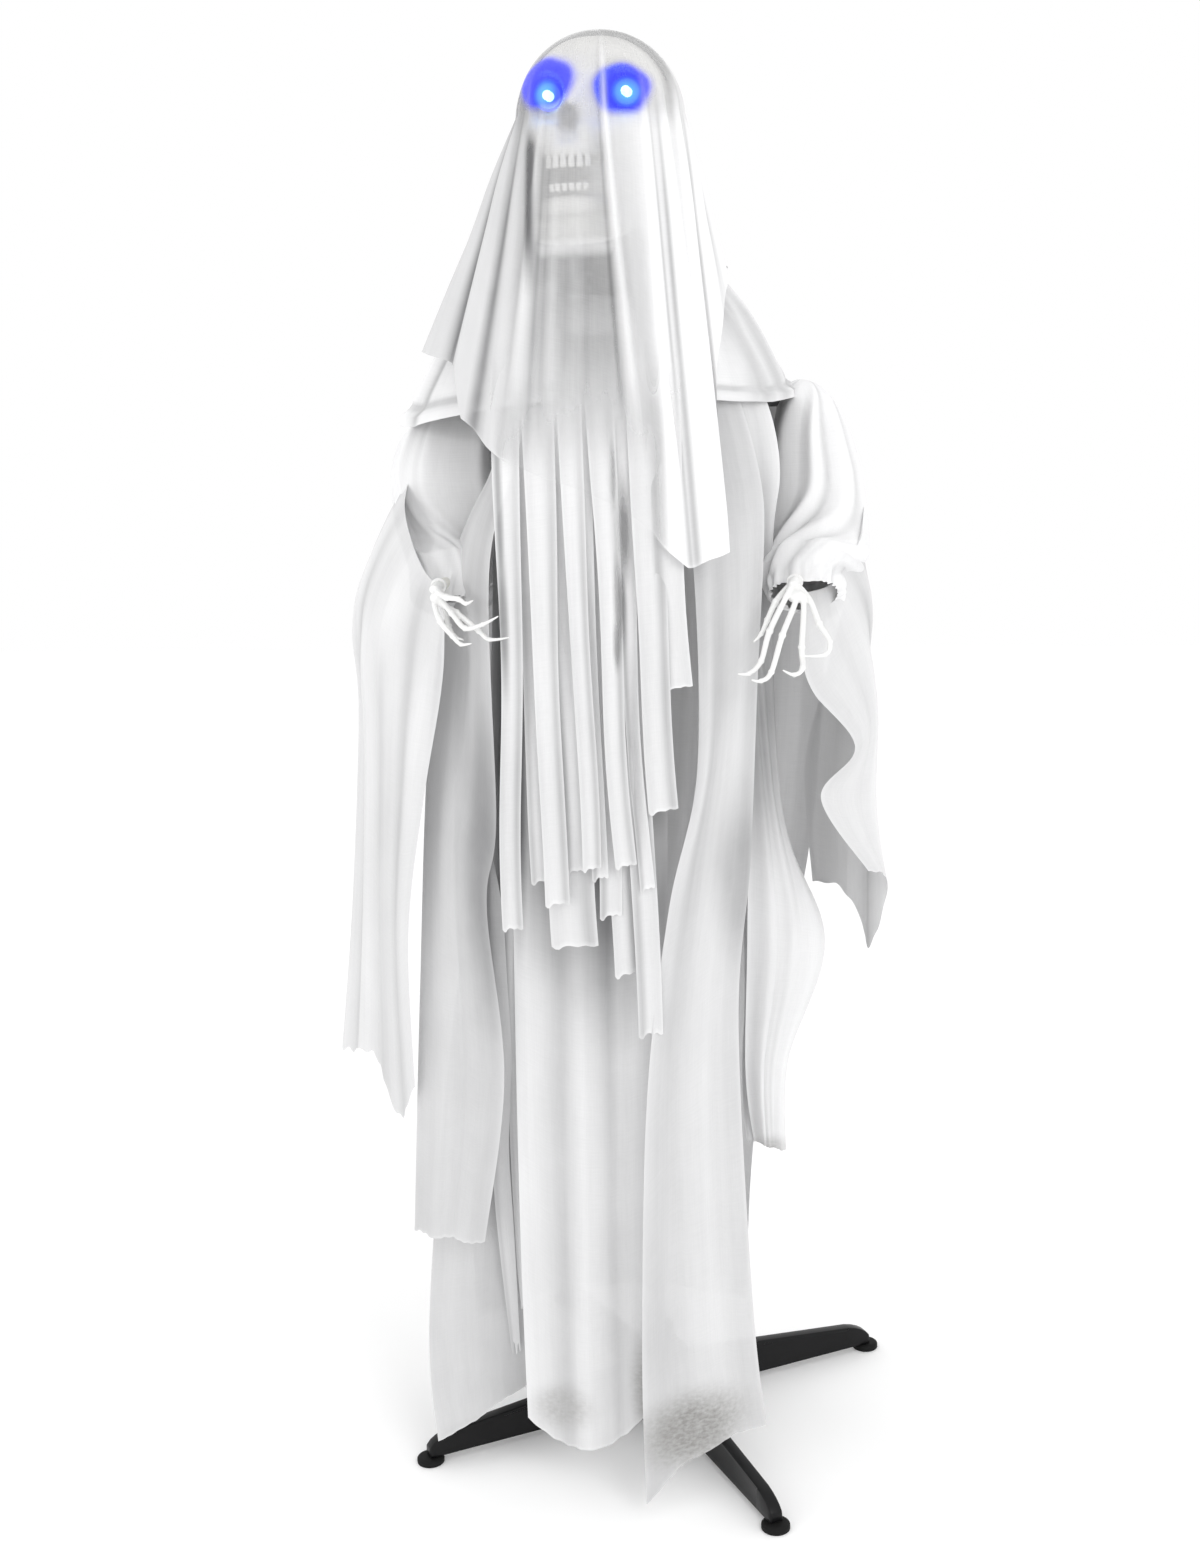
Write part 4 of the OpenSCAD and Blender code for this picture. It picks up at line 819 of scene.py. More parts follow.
handSet = {  # each finger runs from the palm to its tip, the thumb last
    "stub": [(0, 0, 0), (0, -10, 0), (0, -22, -2)], "stubR": [6.6, 6.2, 5.2], "root": (0, -8, 0),
    "fingerR": [4.4, 3.3, 3.3, 2.9, 2.2, 0.9], "knuckleR": [4.2, 3.6, 2.8],
    "palmR": 9, "palm": (1.1, 1.3, 0.8), "voxel": 1.15, "rounds": 3,
    "left": {"wrist": (202, -154, 1090), "fingers": [
        [(198, -186, 1082), (180, -214, 1044), (172, -230, 1014), (160, -238, 1002), (148, -242, 1002)],
        [(206, -186, 1074), (194, -218, 1040), (184, -242, 1004), (174, -252, 996), (164, -256, 998)],
        [(214, -184, 1072), (214, -212, 1026), (216, -226, 1006), (208, -236, 1000), (196, -242, 1006)],
        [(220, -180, 1074), (232, -200, 1050), (244, -214, 1032), (240, -226, 1020), (216, -236, 1020)],
        [(194, -168, 1084), (184, -184, 1072), (176, -198, 1054), (170, -206, 1040), (162, -212, 1032)],
    ]},
    "right": {"wrist": (-202, -154, 1090), "fingers": [
        [(-192, -190, 1086), (-176, -216, 1084), (-158, -234, 1084), (-148, -242, 1080), (-138, -248, 1084)],
        [(-192, -186, 1080), (-172, -212, 1066), (-152, -234, 1052), (-128, -250, 1058), (-108, -258, 1068)],
        [(-194, -184, 1076), (-168, -208, 1066), (-138, -228, 1048), (-124, -238, 1040), (-98, -252, 1044)],
        [(-200, -182, 1074), (-188, -204, 1056), (-170, -222, 1042), (-158, -232, 1034), (-144, -240, 1036)],
        [(-196, -168, 1084), (-188, -184, 1068), (-180, -198, 1050), (-172, -206, 1040), (-160, -212, 1036)],
    ]},
}


def makeHand(side, s):
    wrist = np.array(s[side]["wrist"], float)
    fingers = s[side]["fingers"]
    parts = [strand([wrist + p for p in s["stub"]], s["stubR"])]
    for finger in fingers:
        run = [wrist + s["root"]] + [np.array(p, float) for p in finger]
        parts.append(strand(run, s["fingerR"]))
        for p, r in zip(finger[1:], s["knuckleR"]):
            parts.append(ball(p, r))
    parts.append(ball(np.mean([finger[0] for finger in fingers], axis=0), s["palmR"], s["palm"]))
    hand = melt("handPiece_" + side, parts, s["voxel"], s["rounds"])
    paint(hand, "hollowShade", np.zeros(len(hand.data.vertices)))
    hand.data.materials.append(finishes["handBone"])
    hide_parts("hand_" + side)
    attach(hand, "wrist_" + side)
    return hand


for side in ("left", "right"):
    hand = makeHand(side, handSet)
    print("stage: hand", side, len(hand.data.polygons))

# Cape over the shoulders, drawn in to the neck

gauzePlain = gauzeFinish("gauzePlain")
gauzeLit = gauzeFinish("gauzeLit", glow=True)


def finishSheet(obj, node, finish=gauzePlain, stain=None, shade=None):
    if stain is not None:
        paint(obj, "stain", np.clip(stain, 0, 1))
    if shade is not None:
        paint(obj, "shade", np.clip(painted(obj, "shade") + shade, 0, 1))
    obj.data.materials.append(finish)
    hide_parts(node)


capeSet = {
    "neckR": 85, "neckY": -70, "backZ": 1462, "frontZ": 1415,
    "hemX": 232, "lean": 37, "hemY": -20, "hemD": 150, "hemZ": 1290, "sideDrop": 12, "tilt": 8, "wander": 5,
    "swell": 31, "swellTilt": 16, "fold": 8, "ripple": 3.5, "lift": 1.5, "hemRoll": 3.5, "hemGroove": 2,
    "collarR": 46, "collarY": -92, "collar": 0.22, "collarDip": 8, "collarRise": 16,
    "throat": 60, "tuck": 2.5,
    "cloth": {"cells": (300, 84), "flat": (1.05, 0.24), "cover": (0.95, 0.99), "closed": True, "shadeTone": -0.03},
}
# where the veil shows the chest
chestSet = {"x": 2, "half": 66, "soft": 30, "y": -90, "capeZ": 1450, "capeRun": 40}


def capeAt(a, v, s=capeSet):
    c, n = np.cos(a), np.sin(a)
    neck = row(s["neckR"] * c, s["neckY"] + s["neckR"] * n, mix(s["backZ"], s["frontZ"], ((1 - n) / 2) ** 2))
    hemZ = s["hemZ"] - s["sideDrop"] * c * c + s["tilt"] * c + s["wander"] * np.sin(3 * a + 0.7)
    hem = row((s["hemX"] - s["lean"] * c) * c, s["hemY"] + s["hemD"] * n, hemZ)
    p = mix(neck, hem, v[..., None])
    p[..., 2] += (s["swell"] - s["swellTilt"] * c) * np.sin(math.pi * v)
    return p


def capeOut(a, v):
    d = 0.004
    return unit(np.cross(capeAt(a, v + d) - capeAt(a, v - d), capeAt(a + d, v) - capeAt(a - d, v)))


def capeHook(a, v, inset=3.2):
    v = np.full(np.shape(a), v)
    return capeAt(a, v) - inset * capeOut(a, v)


def makeCape(s):
    drag, soft, tuck = pleats(3, 13, loop=True), ripple(3, 1.6, 1.2), pleats(4, 26, loop=True)

    def place(u, w):
        a = 2 * math.pi * u
        v = np.maximum((w - s["collar"]) / (1 - s["collar"]), 0)
        inner = np.clip(1 - w / s["collar"], 0, 1)
        p = capeAt(a, v)
        crest, crease = drag(u + 0.05 * v, v)
        wave = s["fold"] * foldWave(crest, crease, 0.2) * ease(v * 1.6)
        wave = wave + s["ripple"] * soft(np.cos(a), np.sin(a) + v) * ease(v * 2) + s["lift"]
        roll = s["hemRoll"] * bell(v, 0.97, 0.02) - s["hemGroove"] * bell(v, 0.925, 0.02)  # turned hem
        p = p + capeOut(a, v) * (wave + roll)[:, None]
        throat = s["throat"] * ease((-np.sin(a) - 0.35) * 2.2) * inner
        neckZ = p[:, 2] - s["collarDip"] + s["collarRise"] * inner ** 2 - throat
        neck = row(s["collarR"] * np.cos(a), s["collarY"] + s["collarR"] * np.sin(a), neckZ)
        fall = mix(p, neck, inner[:, None])
        tucks, between = tuck(u, 0.5 + 0 * u)
        fall[:, 2] += s["tuck"] * (tucks - 0.4) * np.sin(math.pi * inner)
        # painted shade along the groove of the turned hem
        band = 0.9 * bell(v, 0.93, 0.016)
        crease = np.maximum(mix(crease, between, inner), band)
        return fall, mix(0.4 + 0.6 * crest, 0.6 * tucks, inner), crease
    obj = weave("capePiece", place, **s["cloth"])
    x, y, z = places(obj).T
    chest = chestSet
    front = below(y, chest["y"], chest["soft"]) * within(x, chest["x"], chest["half"], chest["soft"])
    thin = front * below(z, chest["capeZ"], chest["capeRun"])
    paint(obj, "cover", painted(obj, "cover") * (1 - thin))  # thins out over the chest
    return obj


cape = makeCape(capeSet)
finishSheet(cape, "cape")
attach(cape, "stand")
print("stage: cape")

# Panels that hang from the cape

panelSet = {  # left and right are the edges' runs: x, y and the share of the cape's hem height
    "robe_back": {
        "span": (40, 140), "swell": 75, "sag": 0, "folds": 8, "deep": 15, "cells": (240, 200), "wide": 0.62,
        "left": [(186, 60, 1), (204, 72, 0.95), (220, 86, 0.85), (198, 104, 0.58), (122, 122, 0.28),
                 (102, 134, 0.062)],
        "right": [(-160, 58, 1), (-196, 70, 0.95), (-240, 84, 0.85), (-264, 88, 0.58), (-262, 68, 0.28),
                  (-252, 40, 0.062)],
        "shadeTone": 0.14,
    },
    "robe_front": {
        "span": (248, 284), "hook": 0.3, "fade": (1428, 60), "swell": 8, "sag": -52, "folds": 3, "deep": 4,
        "cells": (130, 200), "wide": 0.24,
        "left": [(-76, -148, 1), (-80, -145, 0.95), (-100, -148, 0.87), (-122, -158, 0.7), (-127, -176, 0.46),
                 (-126, -200, 0.24), (-122, -216, 0.07)],
        "right": [(50, -158, 1), (52, -157, 0.95), (60, -172, 0.87), (60, -180, 0.7), (56, -200, 0.46),
                  (50, -214, 0.24), (44, -226, 0.106)],
        "stain": [(-78, 112, 40, 30, 0.45), (36, 150, 30, 70, 0.9), (44, 930, 30, 100, 0.5)],
        "shade": [(-118, 950, 16, 260, 1.0), (40, 960, 40, 180, 0.7), (-30, 900, 100, 300, 0.6),
                  (14, 1150, 16, 90, 0.5), (8, 1070, 16, 60, 0.5)],
        "shadeTone": 0.14,
    },
    "robe_front_left": {
        "span": (288, 314), "swell": 6, "sag": 26, "folds": 2, "deep": 6, "cells": (110, 220), "wide": 0.14,
        "left": [(65, -156, 1), (70, -154, 0.95), (94, -182, 0.865), (96, -206, 0.69), (64, -232, 0.57),
                 (36, -242, 0.4), (25, -254, 0.16), (28, -266, 0.016)],
        "right": [(150, -122, 1), (164, -122, 0.95), (168, -132, 0.88), (160, -144, 0.76), (150, -158, 0.6),
                  (134, -165, 0.45), (146, -160, 0.17), (160, -152, 0.05)],
        "stain": [(78, 100, 62, 50, 0.95)],
        "shade": [(84, 935, 16, 90, 0.5), (140, 760, 30, 120, 0.25)],
    },
    "robe_front_right": {
        "span": (230, 238), "swell": 6, "sag": 0, "folds": 2, "deep": 6, "cells": (100, 200), "wide": 0.13,
        "left": [(-134, -130, 1), (-137, -127, 0.95), (-144, -124, 0.87), (-166, -110, 0.7),
                 (-232, -130, 0.36), (-262, -150, 0.13), (-243, -198, 0.03)],
        "right": [(-110, -141, 1), (-111, -139, 0.95), (-116, -136, 0.87), (-118, -138, 0.7),
                  (-125, -150, 0.36), (-130, -160, 0.17), (-132, -168, 0.085)],
        "shade": [(-130, 800, 26, 420, 0.7)],
        "shadeTone": 0.26,
    },
    "side_drape_left": {
        "span": (305, 328), "swell": 6, "sag": 0, "folds": 3, "deep": 7, "cells": (80, 180), "wide": 0.1,
        "left": [(119, -137, 1), (121, -133, 0.95), (130, -122, 0.86), (146, -118, 0.7), (140, -100, 0.52),
                 (132, -70, 0.38), (137, -48, 0.3)],
        "right": [(184, -92, 1), (186, -86, 0.95), (170, -82, 0.86), (176, -58, 0.63), (224, -32, 0.5),
                  (178, -32, 0.38), (174, -36, 0.29)],
        "tails": [{"wide": 15, "run": [(132, -60, 860), (136, -50, 600), (131, -46, 480), (130, -44, 385)]}],
        "stain": [(156, 378, 24, 20, 0.6)],
        "shade": [(150, 1000, 40, 260, 0.45)],
        "shadeTone": 0.04,
    },
    "side_drape_right": {
        "span": (236, 247), "swell": 4, "sag": 0, "folds": 2, "deep": 6, "cells": (80, 180), "wide": 0.1,
        "left": [(-110, -140, 1), (-142, -108, 0.95), (-206, -82, 0.86), (-238, -110, 0.7),
                 (-252, -150, 0.46), (-266, -174, 0.235)],
        "right": [(-82, -151, 1), (-104, -160, 0.95), (-138, -176, 0.86), (-140, -186, 0.64),
                  (-154, -192, 0.56), (-140, -196, 0.4), (-170, -206, 0.24)],
        "tails": [{"wide": 21, "run": [(-150, -176, 800), (-147, -174, 640), (-145, -173, 520),
                                       (-154, -173, 400), (-147, -172, 148)]},
                  {"wide": 17, "run": [(-130, -172, 760), (-131, -172, 560), (-134, -170, 352),
                                       (-133, -170, 209)]}],
        "shade": [(-150, 760, 40, 200, 0.3)],
        "shadeTone": 0.26,
    },
}
panelCloth = {"long": 1.25, "cover": (0.9, 0.97), "hem": 0.008, "shadeTone": 0.2, "hook": 0.83, "slow": 2.6}
tailCloth = {"cells": (10, 90), "flat": (0.02, 0.6), "cover": (0.9, 0.96), "hem": 0.03, "shadeTone": 0.2}


def panelPlace(s, seed):
    a = np.array(s["left"], float) * (1, 1, capeSet["hemZ"])
    b = np.array(s["right"], float) * (1, 1, capeSet["hemZ"])
    folds, slow = pleats(seed, s["folds"], wide=(0.25, 0.5)), ripple(seed + 1, 1.2, 1.0)

    def place(u, v):
        l, r = splineAt(a, v), splineAt(b, v)
        side = unit(row(r[:, 1] - l[:, 1], l[:, 0] - r[:, 0], 0 * v))
        crest, crease = folds(u, v)
        wave = s["deep"] * foldWave(crest, crease, 0.3) * ease(2.5 * v)
        wave = wave + panelCloth["slow"] * slow(u, v) * ease(2 * v)
        body = mix(l, r, u[:, None]) + side * (s["swell"] * np.sqrt(v) * np.sin(math.pi * u) + wave)[:, None]
        body[:, 2] += s["sag"] * v * v * np.sin(math.pi * u)
        hook = capeHook(np.radians(mix(*s["span"], u)), s.get("hook", panelCloth["hook"]))
        return mix(hook, body, ease(4 * v)[:, None]), 0.6 + 0.4 * crest, 0.4 * crease
    return place


def tailPlace(s, seed):  # narrow torn tails sewn behind a drape
    wave = ripple(seed, 0.4, 1.5)

    def place(u, v):
        p = splineAt(s["run"], v)
        taper = ease(6 * v) * mix(1, 0.55, ease((v - 0.8) * 5))
        p = p + row((u - 0.5) * s["wide"] * taper + 2 * wave(0 * u, v), 2.5 * wave(u, v) * v, 0 * u)
        # painted shade along one edge of the tail
        return p, 0.6 + 0.4 * np.sin(math.pi * u), 0.4 * bell(u, 0.15, 0.15)
    return place


def makePanel(name, s, seed):
    flat = (s["wide"], panelCloth["long"])
    shadeTone = s.get("shadeTone", panelCloth["shadeTone"])
    obj = weave(name + "_piece", panelPlace(s, seed), s["cells"], flat, panelCloth["cover"],
                hem=panelCloth["hem"], shadeTone=shadeTone)
    if "fade" in s:  # thins out over the chest
        high, run = s["fade"]
        x, y, z = places(obj).T
        thin = above(z, high - run, run) * within(x, chestSet["x"], chestSet["half"], chestSet["soft"])
        paint(obj, "cover", painted(obj, "cover") * (1 - thin))
    tails = []
    for i, tail in enumerate(s.get("tails", [])):
        tails.append(weave("tail", tailPlace(tail, 90 + 3 * i), **tailCloth))
    obj = joinAll(name + "_piece", [obj] + tails)
    stain = spotMask(obj, s.get("stain", []))
    shade = spotMask(obj, s.get("shade", []))
    finishSheet(obj, name, stain=stain, shade=shade)
    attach(obj, "stand")


for k, (name, s) in enumerate(panelSet.items()):
    makePanel(name, s, 20 + 5 * k)
print("stage: robe panels and drapes")

# Sleeves: a puffed tube along each arm, and a wide fall of cloth from its outer side

sleeveSet = {  # rings are the place along the arm, the radius and the shift outwards
    "arm": {"x": 202.3, "bendY": -95, "bendZ": 1200, "bendR": 110},
    "tube": {"cells": (160, 150), "flat": (0.34, 0.42), "cover": (0.95, 0.99), "closed": True, "shadeTone": -0.12},
    "fall": {"cells": (130, 160), "flat": (0.26, 0.6), "cover": (0.88, 0.96), "hem": 0.03, "shadeTone": 0.1},
    "tubeFolds": {"drag": 7, "dragWide": (0.16, 0.36), "tucks": 15, "pinch": 0.8, "puff": 13, "fray": 3},
    "fallFolds": {"count": 4, "wide": (0.25, 0.5), "deep": 11, "slow": 4, "tipWide": 0.17},
    "cuff": {"from": 96, "back": 0.8, "hang": 0.95},
    "left": {
        "sign": 1, "seed": 60, "open": 0.06, "slit": 1.5, "slim": 0.95, "sweep": 0.55,
        "tip": 100, "tipAt": 0.6,
        "rings": [(-107, 4, -6), (-101, 18, -4), (-84, 33, 0), (-56, 44, 3), (-25, 51, 6), (5, 56, 9),
                  (30, 59, 11), (55, 58, 13), (78, 53, 12), (98, 47, 8), (114, 42, 6), (126, 39, 6),
                  (134, 38, 6)],
        "top": [(208, -122, 1074), (238, -112, 1082), (256, -96, 1104), (268, -56, 1130), (270, 0, 1160)],
        "front": [(212, -150, 985), (268, -140, 905), (228, -132, 842), (284, -120, 752)],
        "back": [(252, 30, 1060), (224, 40, 950), (198, 40, 840), (206, 40, 696)],
        "outer": [(280, -60, 1052), (281, -50, 941), (284, -50, 822), (288, -50, 730)],
    },
    "right": {
        "sign": -1, "seed": 70, "open": 0.52, "slit": 4, "slim": 0.78, "sweep": 0.36,
        "tip": 66, "tipAt": 0.2,
        "rings": [(-124, 4, -4), (-116, 22, 0), (-95, 38, 6), (-60, 64, 14), (-25, 74, 19), (5, 78, 18),
                  (30, 77, 13), (55, 69, 8), (78, 60, 6), (98, 49, 5), (114, 39, 4), (126, 33, 3),
                  (134, 31, 2)],
        "top": [(200, -146, 1086), (222, -136, 1104), (246, -104, 1138), (264, -64, 1176), (270, -10, 1212)],
        "front": [(197, -166, 1030), (206, -170, 965), (228, -172, 850), (252, -174, 690), (254, -172, 500)],
        "back": [(332, 0, 1118), (352, -6, 1036), (346, -12, 937), (366, -24, 682), (386, -44, 490)],
        "outer": [(292, -80, 1080), (304, -94, 1000), (308, -98, 880), (318, -104, 690), (326, -110, 495)],
    },
}


def armSpot(s, arm=sleeveSet["arm"]):
    t = np.radians(np.clip(s, 0, 90))
    y = arm["bendY"] + arm["bendR"] * np.cos(t) - np.maximum(s - 90, 0)
    z = arm["bendZ"] - arm["bendR"] * np.sin(t) + np.maximum(-s, 0)
    return y, z, t


def tubePlace(s, f=sleeveSet["tubeFolds"], cuff=sleeveSet["cuff"]):
    rings = np.array(s["rings"], float)
    drag = pleats(s["seed"], f["drag"], loop=True, wide=f["dragWide"])
    gather = pleats(s["seed"] + 1, f["tucks"], loop=True)
    fray = ripple(s["seed"] + 2, 9, 0)

    def place(u, v):
        a = 2 * math.pi * u
        outer, top = np.clip(-np.sin(a), 0, 1), 0.5 - 0.5 * np.cos(a)
        ring = splineAt(rings, v * (1 - s["open"] * outer ** s["slit"]))  # the rim runs up the outer side
        lip = np.maximum(ring[:, 0] - cuff["from"], 0)
        crest, crease = drag(u + s["sweep"] * v + 0.05 * np.sin(9 * v), 0.3 + 0.7 * v)
        tucks, between = gather(u, v)
        pinch = f["pinch"] * ease((v - 0.78) * 6)
        crest, crease = mix(crest, tucks, pinch), mix(crease, between, pinch)
        puff = ease(v * 3) * ease((1 - v) * 9)
        torn = f["fray"] * fray(np.cos(a), np.sin(a)) * top ** 2 * ease((v - 0.96) * 30)
        grow = ring[:, 1] + f["puff"] * foldWave(crest, crease, 0.3) * puff + torn
        y, z, bend = armSpot(ring[:, 0] - cuff["back"] * lip * (1 - top))
        way = row(-np.sin(a), s["slim"] * np.cos(a) * np.cos(bend), -s["slim"] * np.cos(a) * np.sin(bend))
        # the cuff hangs over the wrist
        middle = row(sleeveSet["arm"]["x"] + ring[:, 2], y, z - cuff["hang"] * lip * top)
        p = middle + way * grow[:, None]
        p[:, 0] *= s["sign"]
        return p, 0.55 + 0.45 * crest, 0.8 * crease
    return place


def fallPlace(s, f=sleeveSet["fallFolds"]):
    top = np.array(s["top"], float)
    a = np.concatenate([top[:1], s["front"]])
    b = np.concatenate([top[-1:], s["back"]])
    m = np.concatenate([top[2:3], s["outer"]])
    folds = pleats(s["seed"] + 7, f["count"], wide=f["wide"])
    slow = ripple(s["seed"] + 8, 1.3, 1.2)

    def place(u, v):
        l, out, r = splineAt(a, v), splineAt(m, v), splineAt(b, v)
        side = unit(row(l[:, 1] - r[:, 1], r[:, 0] - l[:, 0], 0 * v))
        side = side * np.sign(side[:, :1] + 1e-6)
        crest, crease = folds(u, v)
        w = u[:, None]
        # a curve through the three runs
        body = l * 2 * (w - 0.5) * (w - 1) + out * 4 * w * (1 - w) + r * 2 * w * (w - 0.5)
        p = mix(splineAt(top, u), body, ease(3 * v)[:, None])
        wave = f["deep"] * foldWave(crest, crease, 0.25) * ease(2 * v)
        wave = wave + f["slow"] * slow(u, v) * ease(2.5 * v)
        p = p + side * wave[:, None]
        p[:, 2] -= s["tip"] * bell(u, s["tipAt"], f["tipWide"]) * v ** 4
        p[:, 0] *= s["sign"]
        return p, 0.5 + 0.5 * crest, 0.6 * crease
    return place


def flipNormals(obj):
    pickOnly(obj)
    bpy.ops.object.mode_set(mode="EDIT")
    bpy.ops.mesh.select_all(action="SELECT")
    bpy.ops.mesh.flip_normals()
    bpy.ops.object.mode_set(mode="OBJECT")


for side in ("left", "right"):
    s = sleeveSet[side]
    tube = weave("sleeveTube", tubePlace(s), **sleeveSet["tube"])
    fall = weave("sleeveFall", fallPlace(s), **sleeveSet["fall"])
    if s["sign"] < 0:
        flipNormals(tube)
        flipNormals(fall)
    sleeve = joinAll("sleevePiece_" + side, [tube, fall])
    finishSheet(sleeve, "sleeve_" + side)
    x = sleeveSet["arm"]["x"] / 1000 * s["sign"]
    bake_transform(sleeve)
print("stage: sleeves")

# Veil over the skull, and the strips its front is cut into

veilSet = {  # cover and folds go by the bearing round the head, 270 being the front
    "x": 88, "y": 108, "h": 86.7, "z": 1588, "cy": -147, "dome": 0.34, "belly": 8, "draw": 2.5,
    "hem": [(126, -198, 1330), (124, -92, 1420), (104, 44, 1432), (70, 132, 1372), (0, 170, 1312),
            (-84, 152, 1322), (-182, 66, 1368), (-216, -44, 1378), (-203, -152, 1350), (-166, -200, 1302),
            (-120, -240, 1252), (-68, -259, 1220), (-10, -266, 1200), (46, -263, 1170), (98, -246, 1116),
            (134, -220, 1130)],
    "corners": (8, 15),
    "flap": {"from": 180, "run": 31, "to": 213, "soft": 3, "rise": 50},
    "folds": [  # bearing, half width, height, how late it starts, drift
        (284.5, 2.6, 9, -0.35, 13), (268, 3, 2, 0.6, -3), (253, 2.6, 3, 0.4, 4), (241, 3, 6, 0.25, -3),
        (226, 5, 6, 0.2, 4), (211, 3, 8, 0.2, 0), (190, 8, 8, 0.2, -4), (172, 5, 6, 0.3, 0),
        (152, 6, 9, 0.3, 4), (130, 5, 9, 0.3, -4), (110, 6, 9, 0.3, 3), (88, 5, 9, 0.3, 0),
        (66, 6, 8, 0.3, 4), (44, 5, 7, 0.3, -3), (20, 5, 6, 0.3, 2), (4, 5, 7, 0.2, 3),
        (345, 5, 7, 0.15, -4), (328, 4, 8, 0.1, 3), (312, 3, 6, 0.1, -2),
    ],
    "cover": {0: 0.86, 45: 0.8, 150: 0.78, 185: 0.8, 212: 0.84, 230: 0.66, 241: 0.46, 258: 0.38, 278: 0.4,
              287: 0.78, 305: 0.9, 360: 0.86},
    # painted glow on the veil round each eye, and painted lamp cores in it
    "eyes": [(-42, 1614, 36, 29), (39, 1603, 29, 28)],
    "lamps": [(-40, 1602), (44, 1599)], "lamp": (17, 14),
    "front": (-140, 40),
    "slant": {"turn": 20, "run": 460, "from": (250, 40), "to": (350, 40)},
    "brow": {"z": (1560, 40), "x": (0, 95, 20), "cover": 0.3, "fold": 0.5},
    "thin": {"z": (1330, 110), "y": (-205, 30), "x": (-14, 96, 20), "share": 0.85},
    # painted shade in a band beside the face
    "gap": {"x": 58, "slope": 0.03, "from": 1560, "half": 9, "soft": 8, "top": (1580, 40),
            "low": (1390, 90), "dark": 0.95, "cover": 0.85},
    "chin": {"z": (1448, 15), "x": (-8, 62, 24), "cover": 0.72},
    # painted shade on the flaps at one side, painted light at the other
    "flaps": {"from": (150, 20), "to": (240, 10), "dark": 0.26, "far": (290, 10), "light": 0.1},
    "cloth": {"cells": (480, 190), "flat": (1.3, 0.72), "cover": (0, 0.35), "closed": True, "shadeTone": -0.13},
}


def cornered(points, share, corners):  # a smooth loop that keeps its corners sharp
    p = np.asarray(points, float)
    x = np.mod(share, 1) * len(p)
    i = np.floor(x).astype(int)
    straight = mix(p[i % len(p)], p[(i + 1) % len(p)], (x - i)[..., None])
    off = [np.abs(np.mod(x - c + len(p) / 2, len(p)) - len(p) / 2) for c in corners]
    return mix(splineAt(p, share, loop=True), straight, ease(1.4 - np.min(off, axis=0))[..., None])


def veilAt(a, v, s=veilSet):
    tilt = np.radians(90 * np.minimum(v / s["dome"], 1))
    c, n = np.cos(a), np.sin(a)
    dome = row(s["x"] * np.sin(tilt) * c, s["cy"] + s["y"] * np.sin(tilt) * n, s["z"] + s["h"] * np.cos(tilt))
    fall = np.maximum((v - s["dome"]) / (1 - s["dome"]), 0)
    deg = np.degrees(a) % 360
    hem = cornered(s["hem"], a / (2 * math.pi), s["corners"])
    flap = s["flap"]  # the outer flap ends higher
    step = np.clip((deg - flap["from"]) / flap["run"], 0, 1) * below(deg, flap["to"], flap["soft"])
    hem[..., 2] += flap["rise"] * step
    p = mix(dome, hem, fall[..., None])
    crest, crease = np.zeros(np.shape(a)), np.zeros(np.shape(a))
    out = s["belly"] * fall * (1 - fall) - s["draw"] * ease(fall * 2)
    for spot, wide, tall, late, drift in s["folds"]:
        x = ((deg - spot - drift * fall + 180) % 360 - 180) / (wide * (0.7 + 0.6 * fall))
        grown = ease((v - s["dome"] * (0.45 + late)) * 3)
        strength = min(1, tall / 8)
        bump = grown * np.exp(-x ** 2 / 1.5)
        crest = np.maximum(crest, bump * strength)
        crease = np.maximum(crease, grown * strength * bell(x, -1.9 * np.sign(drift + 0.1), 0.45))
        out = out + tall * bump
    return p + row(c, n, 0 * a) * out[..., None], crest, crease


def eyeGlow(s, x, z):  # painted glow round each eye, and the painted bright lamp core in it
    glow, core = np.zeros(len(x)), np.zeros(len(x))
    for ex, ez, wide, tall in s["eyes"]:
        r = np.hypot((x - ex) / wide, (z - ez) / tall)
        turn = np.arctan2(z - ez, x - ex)
        edge = 1.12 + 0.02 * np.sin(2 * turn + ex) + 0.03 * np.sin(5 * turn)
        glow = np.maximum(glow, ease((edge - r) * 2.8))
    for ex, ez in s["lamps"]:
        core = np.maximum(core, below(np.hypot(x - ex, z - ez), *s["lamp"]))
    return glow, core


